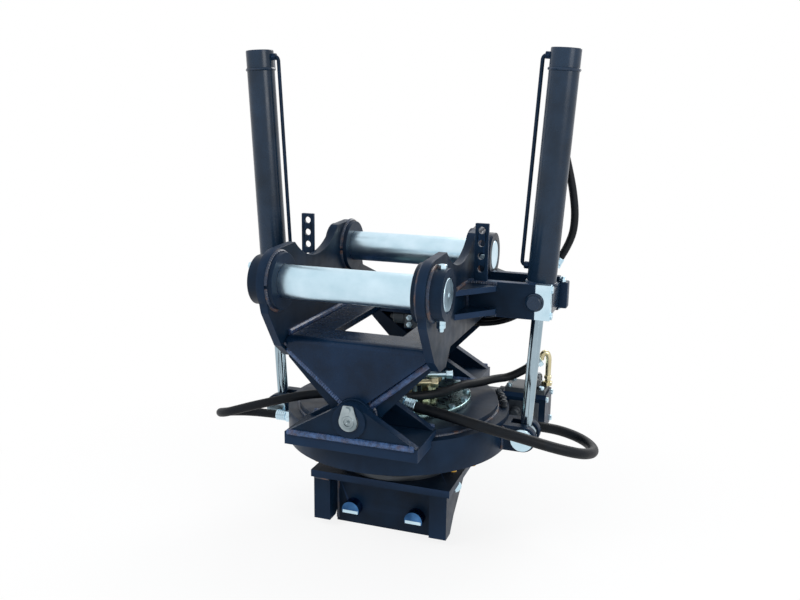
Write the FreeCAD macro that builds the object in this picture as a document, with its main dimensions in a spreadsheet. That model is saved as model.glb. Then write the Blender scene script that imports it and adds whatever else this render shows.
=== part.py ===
"""Tiltrotator for an excavator, in millimetres, +Z up.

The origin is on the turning axis, on the plane that the quick hitch stands on. X runs along the
coupling pins, Y runs along the tilt axis, and the viewer of the photograph stands on the -Y side.
"""
import FreeCAD, Part
import math
import os
import re

import Sketcher
from FreeCAD import Placement, Rotation, Vector

os.makedirs("parts", exist_ok=True)

# Driving dimensions: name, value in millimetres or degrees, meaning.
SIZES = (
    ("axis_rise", 190, "tilt axis above the hitch's top plate"),
    ("fit_gap", 0.05, "radial running fit of every shaft and pin in its bore"),
    ("face_gap", 1, "side play between plates that turn past each other"),
    # Quick hitch
    ("hitch_width", 316, "hitch top plate along X"),
    ("hitch_depth", 256, "hitch top plate along Y"),
    ("hitch_height", 132, "top of the hitch above the floor"),
    ("hitch_top_wall", 16, "hitch top plate thickness"),
    ("hitch_leg_wall", 38, "hitch leg thickness"),
    ("hitch_lip", 6, "overhang of the top plate past each leg"),
    ("hitch_front_lip", 3, "overhang of the top plate in front of the legs"),
    ("leg_rise", 18, "leg's front foot above the floor"),
    ("leg_foot_depth", 32, "leg's front foot along Y"),
    ("leg_knee_y", 67, "knee of the leg's sloping rear edge in front of the turning axis"),
    ("leg_knee_z", 50, "that knee above the floor"),
    ("leg_hip_y", 11, "upper bend of that edge in front of the turning axis"),
    ("leg_hip_z", 92, "that bend above the floor"),
    ("leg_root_y", 24, "leg's rear end under the top plate, behind the turning axis"),
    ("seat_depth", 44, "from the hitch's front edge to its cross wall"),
    ("cross_wall", 45, "cross wall thickness, which guides the lock pins"),
    ("lock_pin_radius", 20, "lock pin radius"),
    ("lock_pin_spread", 73, "lock pin from the middle"),
    ("lock_pin_height", 40, "lock pin axis above the floor"),
    ("lock_pin_reach", 24, "how far the lock pins stand out of the cross wall"),
    ("lock_pin_flat", 14, "depth of the wedge flat under a lock pin's end"),
    ("yoke_wall", 20, "yoke thickness along Y"),
    ("lock_pin_tail", 12, "lock pin behind the cross wall, up to the yoke"),
    ("lock_barrel_radius", 22, "lock cylinder outer radius"),
    ("lock_barrel_wall", 5, "lock cylinder wall"),
    ("lock_barrel_length", 60, "lock cylinder length"),
    ("lock_barrel_front", 30, "lock cylinder's front end behind the turning axis"),
    ("lock_rod_radius", 9, "lock cylinder rod radius"),
    ("lock_piston_wall", 8, "lock cylinder piston length"),
    ("lock_bracket_wall", 8, "bracket behind the lock cylinder"),
    ("cheek_inner", 84, "rear cheek's inner face from the middle"),
    ("cheek_wall", 20, "rear cheek thickness"),
    ("jaw_radius", 24, "hook jaw for the tool's rear axle"),
    ("jaw_height", 40, "hook jaw centre above the floor"),
    ("jaw_inset", 30, "hook jaw centre from the cheeks' rear end"),
    # Rotor
    ("flange_radius", 126, "rotor flange radius on the hitch"),
    ("flange_wall", 12, "rotor flange thickness"),
    ("neck_radius", 104, "rotor neck radius"),
    ("wheel_radius", 140, "worm wheel outer radius"),
    ("wheel_wall", 40, "worm wheel height"),
    ("wheel_bore", 45, "worm wheel bore radius"),
    ("rotor_bolt_radius", 7, "rotor bolt shank radius"),
    ("rotor_bolt_circle", 115, "rotor bolt circle radius"),
    ("bolt_head_ratio", 1.5, "bolt head radius over its shank's"),
    # Housing
    ("housing_drop", 124, "housing underside below the tilt axis"),
    ("housing_height", 70, "housing side wall height"),
    ("housing_radius", 245, "housing outer radius"),
    ("housing_floor", 14, "housing bottom wall"),
    ("drum_step", 25, "step from the housing's edge in to the raised drum"),
    ("drum_height", 14, "raised drum height above the rim"),
    ("wheel_room", 2, "room round the worm wheel"),
    ("disc_radius", 160, "swivel disc radius"),
    ("disc_wall", 10, "swivel disc thickness"),
    ("disc_bolt_circle", 150, "swivel disc bolt circle radius"),
    ("disc_bolt_radius", 5, "swivel disc bolt shank radius"),
    ("hub_radius", 62, "swivel hub radius"),
    ("hub_height", 38, "swivel hub height"),
    ("hub_cap_radius", 40, "swivel hub's upper step radius"),
    ("hub_cap_height", 14, "swivel hub's upper step height"),
    ("plug_radius", 7, "brass plug radius"),
    ("plug_length", 9, "brass plug length under the housing"),
    ("plug_inset", 19, "brass plugs in from the housing's edge"),
    ("plug_tap", 8, "brass plug's length in the housing"),
    # Worm and motor
    ("worm_radius", 29, "worm radius"),
    ("worm_length", 150, "worm length"),
    ("journal_radius", 17, "worm shaft journal radius"),
    ("worm_case_radius", 36, "worm case radius"),
    ("worm_case_half", 192, "worm case half length"),
    ("worm_play", 0.4, "room round the worm in its case"),
    ("end_seat", 0.2, "shim between the worm case and what is bolted to its ends, and round the arm's cut"),
    ("mesh_gap", 0.6, "room between worm and wheel"),
    ("worm_cap_wall", 12, "worm end cover thickness"),
    ("motor_length", 100, "motor body length"),
    ("motor_depth", 84, "motor body along Y"),
    ("motor_height", 84, "motor body height"),
    ("motor_round", 8, "rounding of the motor's long edges"),
    ("motor_flange_wall", 14, "motor flange thickness"),
    ("motor_flange_lip", 4, "motor flange past the worm case"),
    ("motor_cover_wall", 11, "port cover on the motor, thickness"),
    ("relief_radius", 11, "relief valve cartridge radius"),
    ("relief_length", 30, "relief valve cartridge length"),
    ("relief_place", 0.65, "relief valve's place along the motor, as a share of its length"),
    # Rod lugs on the housing
    ("rod_pin_off", 42, "rod pin beyond the housing's edge"),
    ("rod_pin_drop", 92, "rod pin below the tilt axis"),
    ("rod_pin_radius", 13, "rod pin radius"),
    ("rod_pin_head", 24, "rod pin head radius"),
    ("rod_pin_head_wall", 6, "rod pin head thickness"),
    ("lug_radius", 28, "rod lug ear radius"),
    ("lug_wall", 21, "rod lug ear thickness"),
    ("lug_web", 12, "rod lug web beyond the housing"),
    # Tilt ears on the housing
    ("ear_reach", 45, "front face of the outer tilt ear beyond the housing's edge"),
    ("ear_wall", 20, "tilt ear thickness"),
    ("ear_inner_front", 182, "front face of the inner tilt ear from the turning axis"),
    ("ear_half", 135, "tilt ear half width at its foot"),
    ("ear_ring", 34, "tilt ear ring radius"),
    ("ear_ring_proud", 4, "tilt ear ring in front of its ear"),
    ("ear_base_wall", 26, "ear base block height"),
    ("ear_base_lip", 4, "ear base block past each ear"),
    ("tilt_pin_radius", 20, "tilt pin radius"),
    ("retainer_wall", 4, "tilt pin retaining plate thickness"),
    ("retainer_radius", 19, "tilt pin retaining plate, round part"),
    ("retainer_top", 33, "tilt pin retaining plate, top above the pin"),
    ("retainer_top_half", 11, "tilt pin retaining plate, half width at its top"),
    ("nipple_radius", 3.5, "grease nipple radius"),
    ("nipple_length", 8, "grease nipple length"),
    # Tilt frame
    ("tilt_tube_radius", 38, "tilt tube outer radius"),
    ("bush_wall", 4, "tilt bush wall"),
    ("bush_length", 20, "tilt bush length, one at each end of a tilt tube"),
    ("plate_inner", 147, "inner face of each side plate"),
    ("plate_wall", 17, "side plate thickness"),
    ("deck_top", 150, "deck surface above the tilt axis"),
    ("deck_wall", 15, "deck plate thickness"),
    ("deck_inset", 25, "deck's folded front face behind the outer tilt ear's"),
    ("deck_bend", 14, "outer radius of the deck's bends"),
    ("window_half", 72, "deck window half width"),
    ("window_front", 190, "deck window's front edge from the turning axis"),
    ("window_rear", 60, "deck window's rear edge behind the turning axis"),
    ("leg_foot", 102, "side plate foot above the tilt axis"),
    ("leg_front", 240, "side plate foot's outer corner from the turning axis"),
    ("leg_back", 200, "side plate foot's inner corner from the turning axis"),
    ("leg_root", 172, "where the foot runs into the plate"),
    ("web_rise", 26, "height of the tilt web's edge"),
    # Coupling pins
    ("pin_radius", 32.5, "coupling pin radius"),
    ("front_pin_y", 285, "front coupling pin in front of the turning axis"),
    ("front_pin_rise", 262, "front coupling pin above the tilt axis"),
    ("rear_pin_y", 70, "rear coupling pin behind the turning axis"),
    ("rear_pin_rise", 280, "rear coupling pin above the tilt axis"),
    ("front_lobe", 62, "front lobe radius"),
    ("rear_lobe", 58, "rear lobe radius"),
    ("boss_inner_radius", 55, "inner boss radius"),
    ("boss_inner_length", 12, "inner boss length"),
    ("boss_outer_radius", 48, "outer boss radius"),
    ("boss_outer_length", 26, "outer boss length"),
    ("saddle_radius", 150, "radius of the hollow between the lobes"),
    ("saddle_low", 288, "lowest point of that hollow above the tilt axis"),
    ("saddle_y", 112, "lowest point of that hollow in front of the turning axis"),
    ("lock_bolt_radius", 8, "coupling pin lock bolt radius"),
    ("lock_bolt_head", 10, "coupling pin lock bolt head height"),
    # Arms and trunnions
    ("trunnion_off", 17, "trunnion axis farther out than the rod pin"),
    ("trunnion_rise", 212, "trunnion axis above the tilt axis"),
    ("trunnion_radius", 18, "trunnion pin radius"),
    ("bar_height", 72, "arm bar height"),
    ("bar_wall", 18, "arm bar thickness"),
    ("bar_gap_half", 44, "arm bar's inner face from the middle of the cylinder"),
    ("cap_length", 32, "trunnion cap length"),
    ("cap_bolt_radius", 6, "trunnion cap bolt radius"),
    ("cap_bolt_spread", 27, "trunnion cap bolt from the trunnion axis"),
    ("cap_bolt_head", 9, "trunnion cap bolt head height"),
    ("gusset_wall", 12, "gusset thickness"),
    ("gusset_out", 64, "gusset length along the arm"),
    ("gusset_back", 88, "gusset length along the side plate"),
    ("gusset_spread", 18, "gusset from the trunnion's height"),
    ("gusset_nose", 10, "gusset nose width"),
    # Tilt cylinders
    ("tube_radius", 30, "cylinder tube outer radius"),
    ("tube_wall", 5, "cylinder tube wall"),
    ("tube_rise", 493, "top of the cylinder above its trunnion"),
    ("tube_foot", 34, "foot of the tube below its trunnion"),
    ("end_cap_wall", 24, "cylinder end cap thickness"),
    ("bead_drop", 26, "weld bead below the cylinder's top"),
    ("bead_radius", 2.5, "weld bead section radius"),
    ("block_half", 33, "trunnion block half width"),
    ("block_height", 56, "trunnion block height"),
    ("port_block", 24, "port block width and depth"),
    ("port_block_height", 34, "port block height"),
    ("gland_length", 30, "gland inside the tube"),
    ("gland_flange", 8, "gland flange thickness"),
    ("rod_radius", 12.5, "piston rod radius"),
    ("eye_radius", 25, "rod eye outer radius"),
    ("eye_half", 12, "rod eye half thickness"),
    ("piston_above", 200, "piston's lower face above the trunnion at rest"),
    ("piston_wall", 40, "piston length"),
    ("piston_nut_wall", 12, "piston nut height"),
    ("pipe_radius", 4, "oil pipe radius"),
    ("pipe_off", 44, "oil pipe from the cylinder's axis"),
    ("pipe_top_drop", 15, "oil pipe's upper end below the cylinder's top"),
    ("pipe_foot", 62, "oil pipe's lower end above the trunnion"),
    ("pipe_bend", 9, "oil pipe bend radius"),
    # Hose brackets
    ("bracket_width", 28, "hose bracket width"),
    ("bracket_wall", 8, "hose bracket thickness"),
    ("bracket_height", 116, "hose bracket height above the arm"),
    ("bracket_out", 14, "hose bracket from the side plate"),
    ("bracket_hole", 7, "hose bracket hole radius"),
    ("bracket_pitch", 26, "hose bracket hole spacing"),
    # Valve block under the deck
    ("valve_width", 60, "valve block along X"),
    ("valve_depth", 60, "valve block along Y"),
    ("valve_height", 38, "valve block height"),
    ("valve_x", 16, "valve block centre to the right"),
    ("valve_y", 98, "valve block centre behind the turning axis"),
    ("knob_radius", 9, "valve knob radius"),
    ("knob_length", 26, "valve knob length"),
    # Hoses
    ("thick_hose_radius", 11, "right loop hose radius"),
    ("main_hose_radius", 9.5, "left loop hose radius"),
    ("thin_hose_radius", 6, "thin hose radius"),
    ("elbow_radius", 8, "elbow radius on the loop hoses' fittings"),
    ("ferrule_length", 24, "ferrule length on the loop hoses"),
    ("thin_ferrule_length", 18, "ferrule length on the thin hoses"),
    ("cylinder_hose_radius", 8, "right cylinder hose radius"),
    ("cylinder_ferrule_length", 14, "ferrule length on the cylinder hose"),
    ("ferrule_ratio", 1.25, "ferrule radius over its hose's"),
    ("ferrule_nut_ratio", 1.45, "corner radius of a ferrule's nut over its hose's radius"),
    ("ferrule_nut_share", 0.45, "length of a ferrule's nut over the ferrule's"),
    ("elbow_nut_ratio", 1.5, "corner radius of an elbow's nut over the pipe's radius"),
    ("thin_elbow_ratio", 0.8, "thin hoses' elbow radius over their hose's"),
)

# Brass plugs under the housing, in degrees round the turning axis.
PLUG_ANGLES = (-118, -41, -28)
# Routes of the hoses and elbows, x and y from the turning axis and z from the tilt axis, in millimetres.
RIGHT_LOOP = (
    (84, -140, -9),
    (130, -140, -16),
    (190, -140, -27),
    (250, -138, -38),
    (310, -132, -50),
    (366, -118, -66),
    (414, -82, -86),
    (434, -30, -102),
    (430, 24, -112),
    (402, 68, -112),
    (356, 86, -106),
    (312, 85, -102),
    (270, 80, -100),
)
RIGHT_ELBOW = ((30, -136, -1), (30, -136, -30))
LEFT_LOOP = (
    (256, 170, 6),
    (222, 160, -18),
    (184, 136, -20),
    (158, 92, -20),
    (136, 42, -11),
    (108, -18, -14),
    (66, -64, -14),
    (8, -90, -13),
    (-54, -104, -12),
    (-116, -118, -12),
    (-170, -136, -17),
    (-220, -164, -27),
    (-270, -190, -38),
    (-327, -196, -58),
    (-368, -157, -76),
    (-368, -102, -92),
    (-328, -62, -101),
    (-272, -60, -101),
)
LEFT_ELBOW = ((290, 181, 32), (290, 181, -35))
SWIVEL_ELBOWS = (
    ((96, -4, 12), (76, 2, 14), (76, 2, -30)),
    ((88, -44, 4), (70, -32, 6), (70, -32, -30)),
)
FRONT_THIN_HOSE = (
    (262, 84, 160),
    (236, 88, 142),
    (206, 92, 128),
    (174, 94, 120),
    (140, 95, 117),
    (106, 95, 116),
    (72, 95, 116),
)
FRONT_THIN_ELBOW = ((288, 80, 184), (288, 62, 184))
REAR_THIN_HOSE = (
    (262, 104, 164),
    (236, 108, 146),
    (206, 112, 132),
    (174, 114, 124),
    (140, 115, 121),
    (106, 115, 120),
    (72, 115, 120),
)
REAR_THIN_ELBOW = ((275, 100, 214), (275, 62, 214))
CYLINDER_HOSE = (
    (326, 48, 527),
    (339, 54, 478),
    (352, 58, 424),
    (359, 60, 370),
    (353, 60, 322),
    (333, 56, 286),
)
CYLINDER_HOSE_TOP = ((320, 45, 556), (320, 28, 556))
CYLINDER_HOSE_FOOT = ((316, 52, 264), (316, 28, 264))

doc = FreeCAD.newDocument("Tiltrotator")
sheet = doc.addObject("Spreadsheet::Sheet", "Sizes")
for row, (alias, number, meaning) in enumerate(SIZES, start=1):
    sheet.set(f"A{row}", meaning)
    sheet.set(f"B{row}", str(number))
    sheet.setAlias(f"B{row}", alias)
doc.recompute()

NAMES = {alias for alias, number, meaning in SIZES}
WORD = re.compile(r"[a-z][a-z_]*")
# Lengths worked out from the sizes, written like sizes in the expressions below.
DERIVED = {
    "tilt_axis_height": "(hitch_height + axis_rise)",
    "housing_base": "(hitch_height + axis_rise - housing_drop)",
    "drum_radius": "(housing_radius - drum_step)",
    "ear_front": "(housing_radius + ear_reach)",
    "deck_front": "(housing_radius + ear_reach - deck_inset)",
    "plug_circle": "(housing_radius - plug_inset)",
    "rod_pin_out": "(housing_radius + rod_pin_off)",
    "trunnion_out": "(housing_radius + rod_pin_off + trunnion_off)",
}
NODES = {}

# Profiles are drawn in a plane of their own and turned: x and y of the profile become these.
FLAT = Rotation()
UPRIGHT = Rotation(Vector(1, 0, 0), 90)
SIDEWAYS = Rotation(Vector(1, 1, 1), 120)
# Round bars are turned so that their own axis lies along X, Y or Z.
ALONG = {
    "x": Rotation(Vector(0, 1, 0), 90),
    "y": Rotation(Vector(1, 0, 0), -90),
    "z": Rotation(),
}


def bound(text):
    """Writes an expression with its size names pointing at the sheet."""
    plain = WORD.sub(lambda m: DERIVED.get(m.group(0), m.group(0)), text)
    return WORD.sub(lambda m: "Sizes." + m.group(0) if m.group(0) in NAMES else m.group(0), plain)


def number_of(text):
    """The present number of an expression, in millimetres or degrees."""
    result = sheet.evalExpression(bound(text))
    return float(getattr(result, "Value", result))


def place(thing, turn, where):
    """Turns an object and binds its place to three expressions."""
    thing.Placement = Placement(Vector(0, 0, 0), turn)
    for axis, text in zip("xyz", where):
        thing.setExpression(f"Placement.Base.{axis}", bound(text))
    return thing


def node(name, thing):
    """Names an object as one piece of the tiltrotator."""
    thing.Label = name
    NODES[name] = thing
    return thing


def closed_outline(body, points, tag="outline"):
    """Draws a closed outline of straight edges, each corner bound to two expressions."""
    sketch = body.newObject("Sketcher::SketchObject", f"{body.Name}_{tag}")
    plane = next(item for item in body.Origin.OriginFeatures if item.Role == "XY_Plane")
    sketch.AttachmentSupport = [(plane, "")]
    sketch.MapMode = "FlatFace"
    corners = [Vector(number_of(x), number_of(y), 0) for x, y in points]
    count = len(corners)
    for i in range(count):
        sketch.addGeometry(Part.LineSegment(corners[i], corners[(i + 1) % count]))
    for i in range(count):
        sketch.addConstraint(Sketcher.Constraint("Coincident", i, 2, (i + 1) % count, 1))
    for i, (x, y) in enumerate(points):
        for kind, text, number in (("DistanceX", x, corners[i].x), ("DistanceY", y, corners[i].y)):
            index = sketch.addConstraint(Sketcher.Constraint(kind, -1, 1, i, 1, number))
            sketch.setExpression(f"Constraints[{index}]", bound(text))
    return sketch


def profile(name, turn, where, points, length):
    """A body padded from a closed outline, turned and placed."""
    body = doc.addObject("PartDesign::Body", name)
    sketch = closed_outline(body, points)
    pad = body.newObject("PartDesign::Pad", f"{name}_pad")
    pad.Profile = sketch
    pad.setExpression("Length", bound(length))
    sketch.Visibility = False
    return place(body, turn, where)


def turned(name, points, where=("0", "0", "0"), turn=UPRIGHT):
    """A body turned on a lathe: the outline's x is the radius and its y runs along the axis."""
    body = doc.addObject("PartDesign::Body", name)
    sketch = closed_outline(body, points)
    revolution = body.newObject("PartDesign::Revolution", f"{name}_turn")
    revolution.Profile = sketch
    revolution.ReferenceAxis = (sketch, ["V_Axis"])
    revolution.Angle = 360
    return place(body, turn, where)


def bar(name, axis, where, radius, length):
    """A round bar along one axis."""
    thing = doc.addObject("Part::Cylinder", name)
    thing.setExpression("Radius", bound(radius))
    thing.setExpression("Height", bound(length))
    return place(thing, ALONG[axis], where)


def box(name, where, size):
    """A block with its low corner at a place."""
    thing = doc.addObject("Part::Box", name)
    for side, text in zip(("Length", "Width", "Height"), size):
        thing.setExpression(side, bound(text))
    return place(thing, FLAT, where)


def hexagon(name, axis, where, radius, length):
    """A six-sided head or nut along one axis, sized by its corner radius."""
    thing = doc.addObject("Part::Prism", name)
    thing.Polygon = 6
    thing.setExpression("Circumradius", bound(radius))
    thing.setExpression("Height", bound(length))
    return place(thing, ALONG[axis], where)


def fuse(name, things):
    """Joins objects into one solid, or into a group where they stay apart."""
    thing = doc.addObject("Part::MultiFuse", name)
    thing.Shapes = things
    thing.Refine = True
    return thing


def cut(name, base, tools):
    """Takes tools away from a base."""
    thing = doc.addObject("Part::Cut", name)
    thing.Base = base
    thing.Tool = tools[0] if len(tools) == 1 else fuse(f"{name}_tools", tools)
    thing.Refine = True
    return thing


def mirror(name, source, normal=Vector(1, 0, 0)):
    """The same piece on the other side of the middle plane."""
    thing = doc.addObject("Part::Mirroring", name)
    thing.Source = source
    thing.Normal = normal
    return thing


def ring_of_bolts(name, count, start, circle, radius, top, shank, head):
    """Bolts round the turning axis, heads up, as one group."""
    pieces = []
    for i in range(count):
        angle = start + 360.0 * i / count
        across = f"{circle} * cos({angle} deg)"
        along = f"{circle} * sin({angle} deg)"
        low = f"{top} - ({shank})"
        pieces.append(bar(f"{name}_shank_{i}", "z", (across, along, low), radius, shank))
        pieces.append(
            hexagon(f"{name}_head_{i}", "z", (across, along, top), f"{radius} * bolt_head_ratio", head)
        )
    return fuse(name, pieces)


def bolt_holes(name, count, start, circle, radius, top, depth):
    """Clearance holes for a ring of bolts."""
    holes = []
    for i in range(count):
        angle = start + 360.0 * i / count
        across = f"{circle} * cos({angle} deg)"
        along = f"{circle} * sin({angle} deg)"
        where = (across, along, f"{top} - ({depth})")
        holes.append(bar(f"{name}_{i}", "z", where, f"{radius} + fit_gap", depth))
    return holes


def build_hitch():
    """Quick hitch: top plate, two legs with hook jaws, cross wall with lock pins, lock cylinder."""
    leg_height = "hitch_height - hitch_top_wall"
    top = box(
        "hitch_top",
        ("-hitch_width / 2", "-hitch_depth / 2", leg_height),
        ("hitch_width", "hitch_depth", "hitch_top_wall"),
    )
    leg_in = "hitch_width / 2 - hitch_lip - hitch_leg_wall"
    leg_front = "-hitch_depth / 2 + hitch_front_lip"
    leg = profile(
        "hitch_leg",
        SIDEWAYS,
        (leg_in, "0", "0"),
        (
            (leg_front, "leg_rise"),
            (f"{leg_front} + leg_foot_depth", "leg_rise"),
            ("-leg_knee_y", "leg_knee_z"),
            ("-leg_hip_y", "leg_hip_z"),
            ("leg_root_y", leg_height),
            (leg_front, leg_height),
        ),
        "hitch_leg_wall",
    )
    cheek = box(
        "hitch_cheek",
        ("cheek_inner", "leg_root_y", "0"),
        ("cheek_wall", "hitch_depth / 2 - leg_root_y - hitch_lip", leg_height),
    )
    jaw_y = "hitch_depth / 2 - hitch_lip - jaw_inset"
    jaw = bar("jaw_round", "x", ("-hitch_width", jaw_y, "jaw_height"), "jaw_radius", "2 * hitch_width")
    jaw_way = box(
        "jaw_way",
        ("-hitch_width", jaw_y, "jaw_height - jaw_radius"),
        ("2 * hitch_width", "jaw_inset + hitch_lip", "2 * jaw_radius"),
    )
    cheek_part = cut("hitch_cheek_part", cheek, [jaw, jaw_way])
    wall = box(
        "hitch_cross_wall",
        (f"-({leg_in})", "-hitch_depth / 2 + seat_depth", "0"),
        (f"2 * ({leg_in})", "cross_wall", leg_height),
    )
    bracket_y = "lock_barrel_front + lock_barrel_length"
    bracket = box(
        "lock_bracket",
        ("-1.4 * lock_barrel_radius", bracket_y, "lock_pin_height - lock_barrel_radius"),
        (
            "2.8 * lock_barrel_radius",
            "lock_bracket_wall",
            f"{leg_height} - lock_pin_height + lock_barrel_radius",
        ),
    )
    guides = [
        bar(
            f"lock_guide_{side}",
            "y",
            (f"{sign} * lock_pin_spread", "-hitch_depth / 2", "lock_pin_height"),
            "lock_pin_radius + fit_gap",
            "seat_depth + cross_wall + 1",
        )
        for side, sign in (("left", -1), ("right", 1))
    ]
    holes = bolt_holes(
        "rotor_hole", 10, 18, "rotor_bolt_circle", "rotor_bolt_radius", "hitch_height", "hitch_top_wall"
    )
    sides = [leg, mirror("hitch_leg_left", leg), cheek_part, mirror("hitch_cheek_left", cheek_part)]
    solid = fuse("hitch_solid", [top, wall, bracket] + sides)
    node("hitch_frame", cut("hitch_frame", solid, guides + holes))

    pin_front = "-hitch_depth / 2 + seat_depth - lock_pin_reach"
    pin_length = "lock_pin_reach + cross_wall + lock_pin_tail"
    lock_pins = []
    for side, sign in (("left", -1), ("right", 1)):
        pin = bar(
            f"lock_pin_{side}_bar",
            "y",
            (f"{sign} * lock_pin_spread", pin_front, "lock_pin_height"),
            "lock_pin_radius",
            pin_length,
        )
        under = profile(
            f"lock_pin_{side}_wedge",
            SIDEWAYS,
            (f"{sign} * lock_pin_spread - lock_pin_radius - 1", pin_front, "lock_pin_height"),
            (
                ("-1", "-lock_pin_radius - 1"),
                ("lock_pin_reach - 4", "-lock_pin_radius - 1"),
                ("-1", "-lock_pin_radius + lock_pin_flat"),
            ),
            "2 * lock_pin_radius + 2",
        )
        lock_pins.append(cut(f"lock_pin_{side}", pin, [under]))
    node("lock_pins", fuse("lock_pins", lock_pins))

    yoke_y = "-hitch_depth / 2 + seat_depth + cross_wall + lock_pin_tail"
    yoke_bar = box(
        "lock_yoke_bar",
        ("-lock_pin_spread - lock_pin_radius", yoke_y, "lock_pin_height - lock_pin_radius"),
        ("2 * lock_pin_spread + 2 * lock_pin_radius", "yoke_wall", "2 * lock_pin_radius"),
    )
    rod_start = f"{yoke_y} + yoke_wall"
    piston_y = "lock_barrel_front + lock_barrel_wall + 1"
    rod = bar(
        "lock_rod_bar",
        "y",
        ("0", rod_start, "lock_pin_height"),
        "lock_rod_radius",
        f"{piston_y} - ({rod_start})",
    )
    piston = bar(
        "lock_piston_disc",
        "y",
        ("0", piston_y, "lock_pin_height"),
        "lock_barrel_radius - lock_barrel_wall - fit_gap",
        "lock_piston_wall",
    )
    node("lock_yoke", fuse("lock_yoke", [yoke_bar, rod, piston]))

    barrel = bar(
        "lock_barrel_outside",
        "y",
        ("0", "lock_barrel_front", "lock_pin_height"),
        "lock_barrel_radius",
        "lock_barrel_length",
    )
    room = bar(
        "lock_barrel_room",
        "y",
        ("0", "lock_barrel_front + lock_barrel_wall", "lock_pin_height"),
        "lock_barrel_radius - lock_barrel_wall",
        "lock_barrel_length - lock_barrel_wall",
    )
    gland = bar(
        "lock_barrel_gland",
        "y",
        ("0", "lock_barrel_front - 1", "lock_pin_height"),
        "lock_rod_radius + fit_gap",
        "lock_barrel_wall + 2",
    )
    node("lock_cylinder", cut("lock_cylinder", barrel, [room, gland]))


def build_rotor():
    """Worm wheel with its neck and flange, bolted to the hitch."""
    wheel_low = "housing_base + housing_floor + wheel_room"
    blank = turned(
        "worm_wheel_blank",
        (
            ("wheel_bore", "hitch_height"),
            ("flange_radius", "hitch_height"),
            ("flange_radius", "hitch_height + flange_wall"),
            ("neck_radius", "hitch_height + flange_wall"),
            ("neck_radius", wheel_low),
            ("wheel_radius", wheel_low),
            ("wheel_radius", f"{wheel_low} + wheel_wall"),
            ("wheel_bore", f"{wheel_low} + wheel_wall"),
        ),
    )
    holes = bolt_holes(
        "flange_hole",
        10,
        18,
        "rotor_bolt_circle",
        "rotor_bolt_radius",
        "hitch_height + flange_wall",
        "flange_wall",
    )
    node("worm_wheel", cut("worm_wheel", blank, holes))
    bolts = ring_of_bolts(
        "rotor_bolts",
        10,
        18,
        "rotor_bolt_circle",
        "rotor_bolt_radius",
        "hitch_height + flange_wall",
        "flange_wall + hitch_top_wall",
        "rotor_bolt_radius",
    )
    node("rotor_bolts", bolts)


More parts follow.
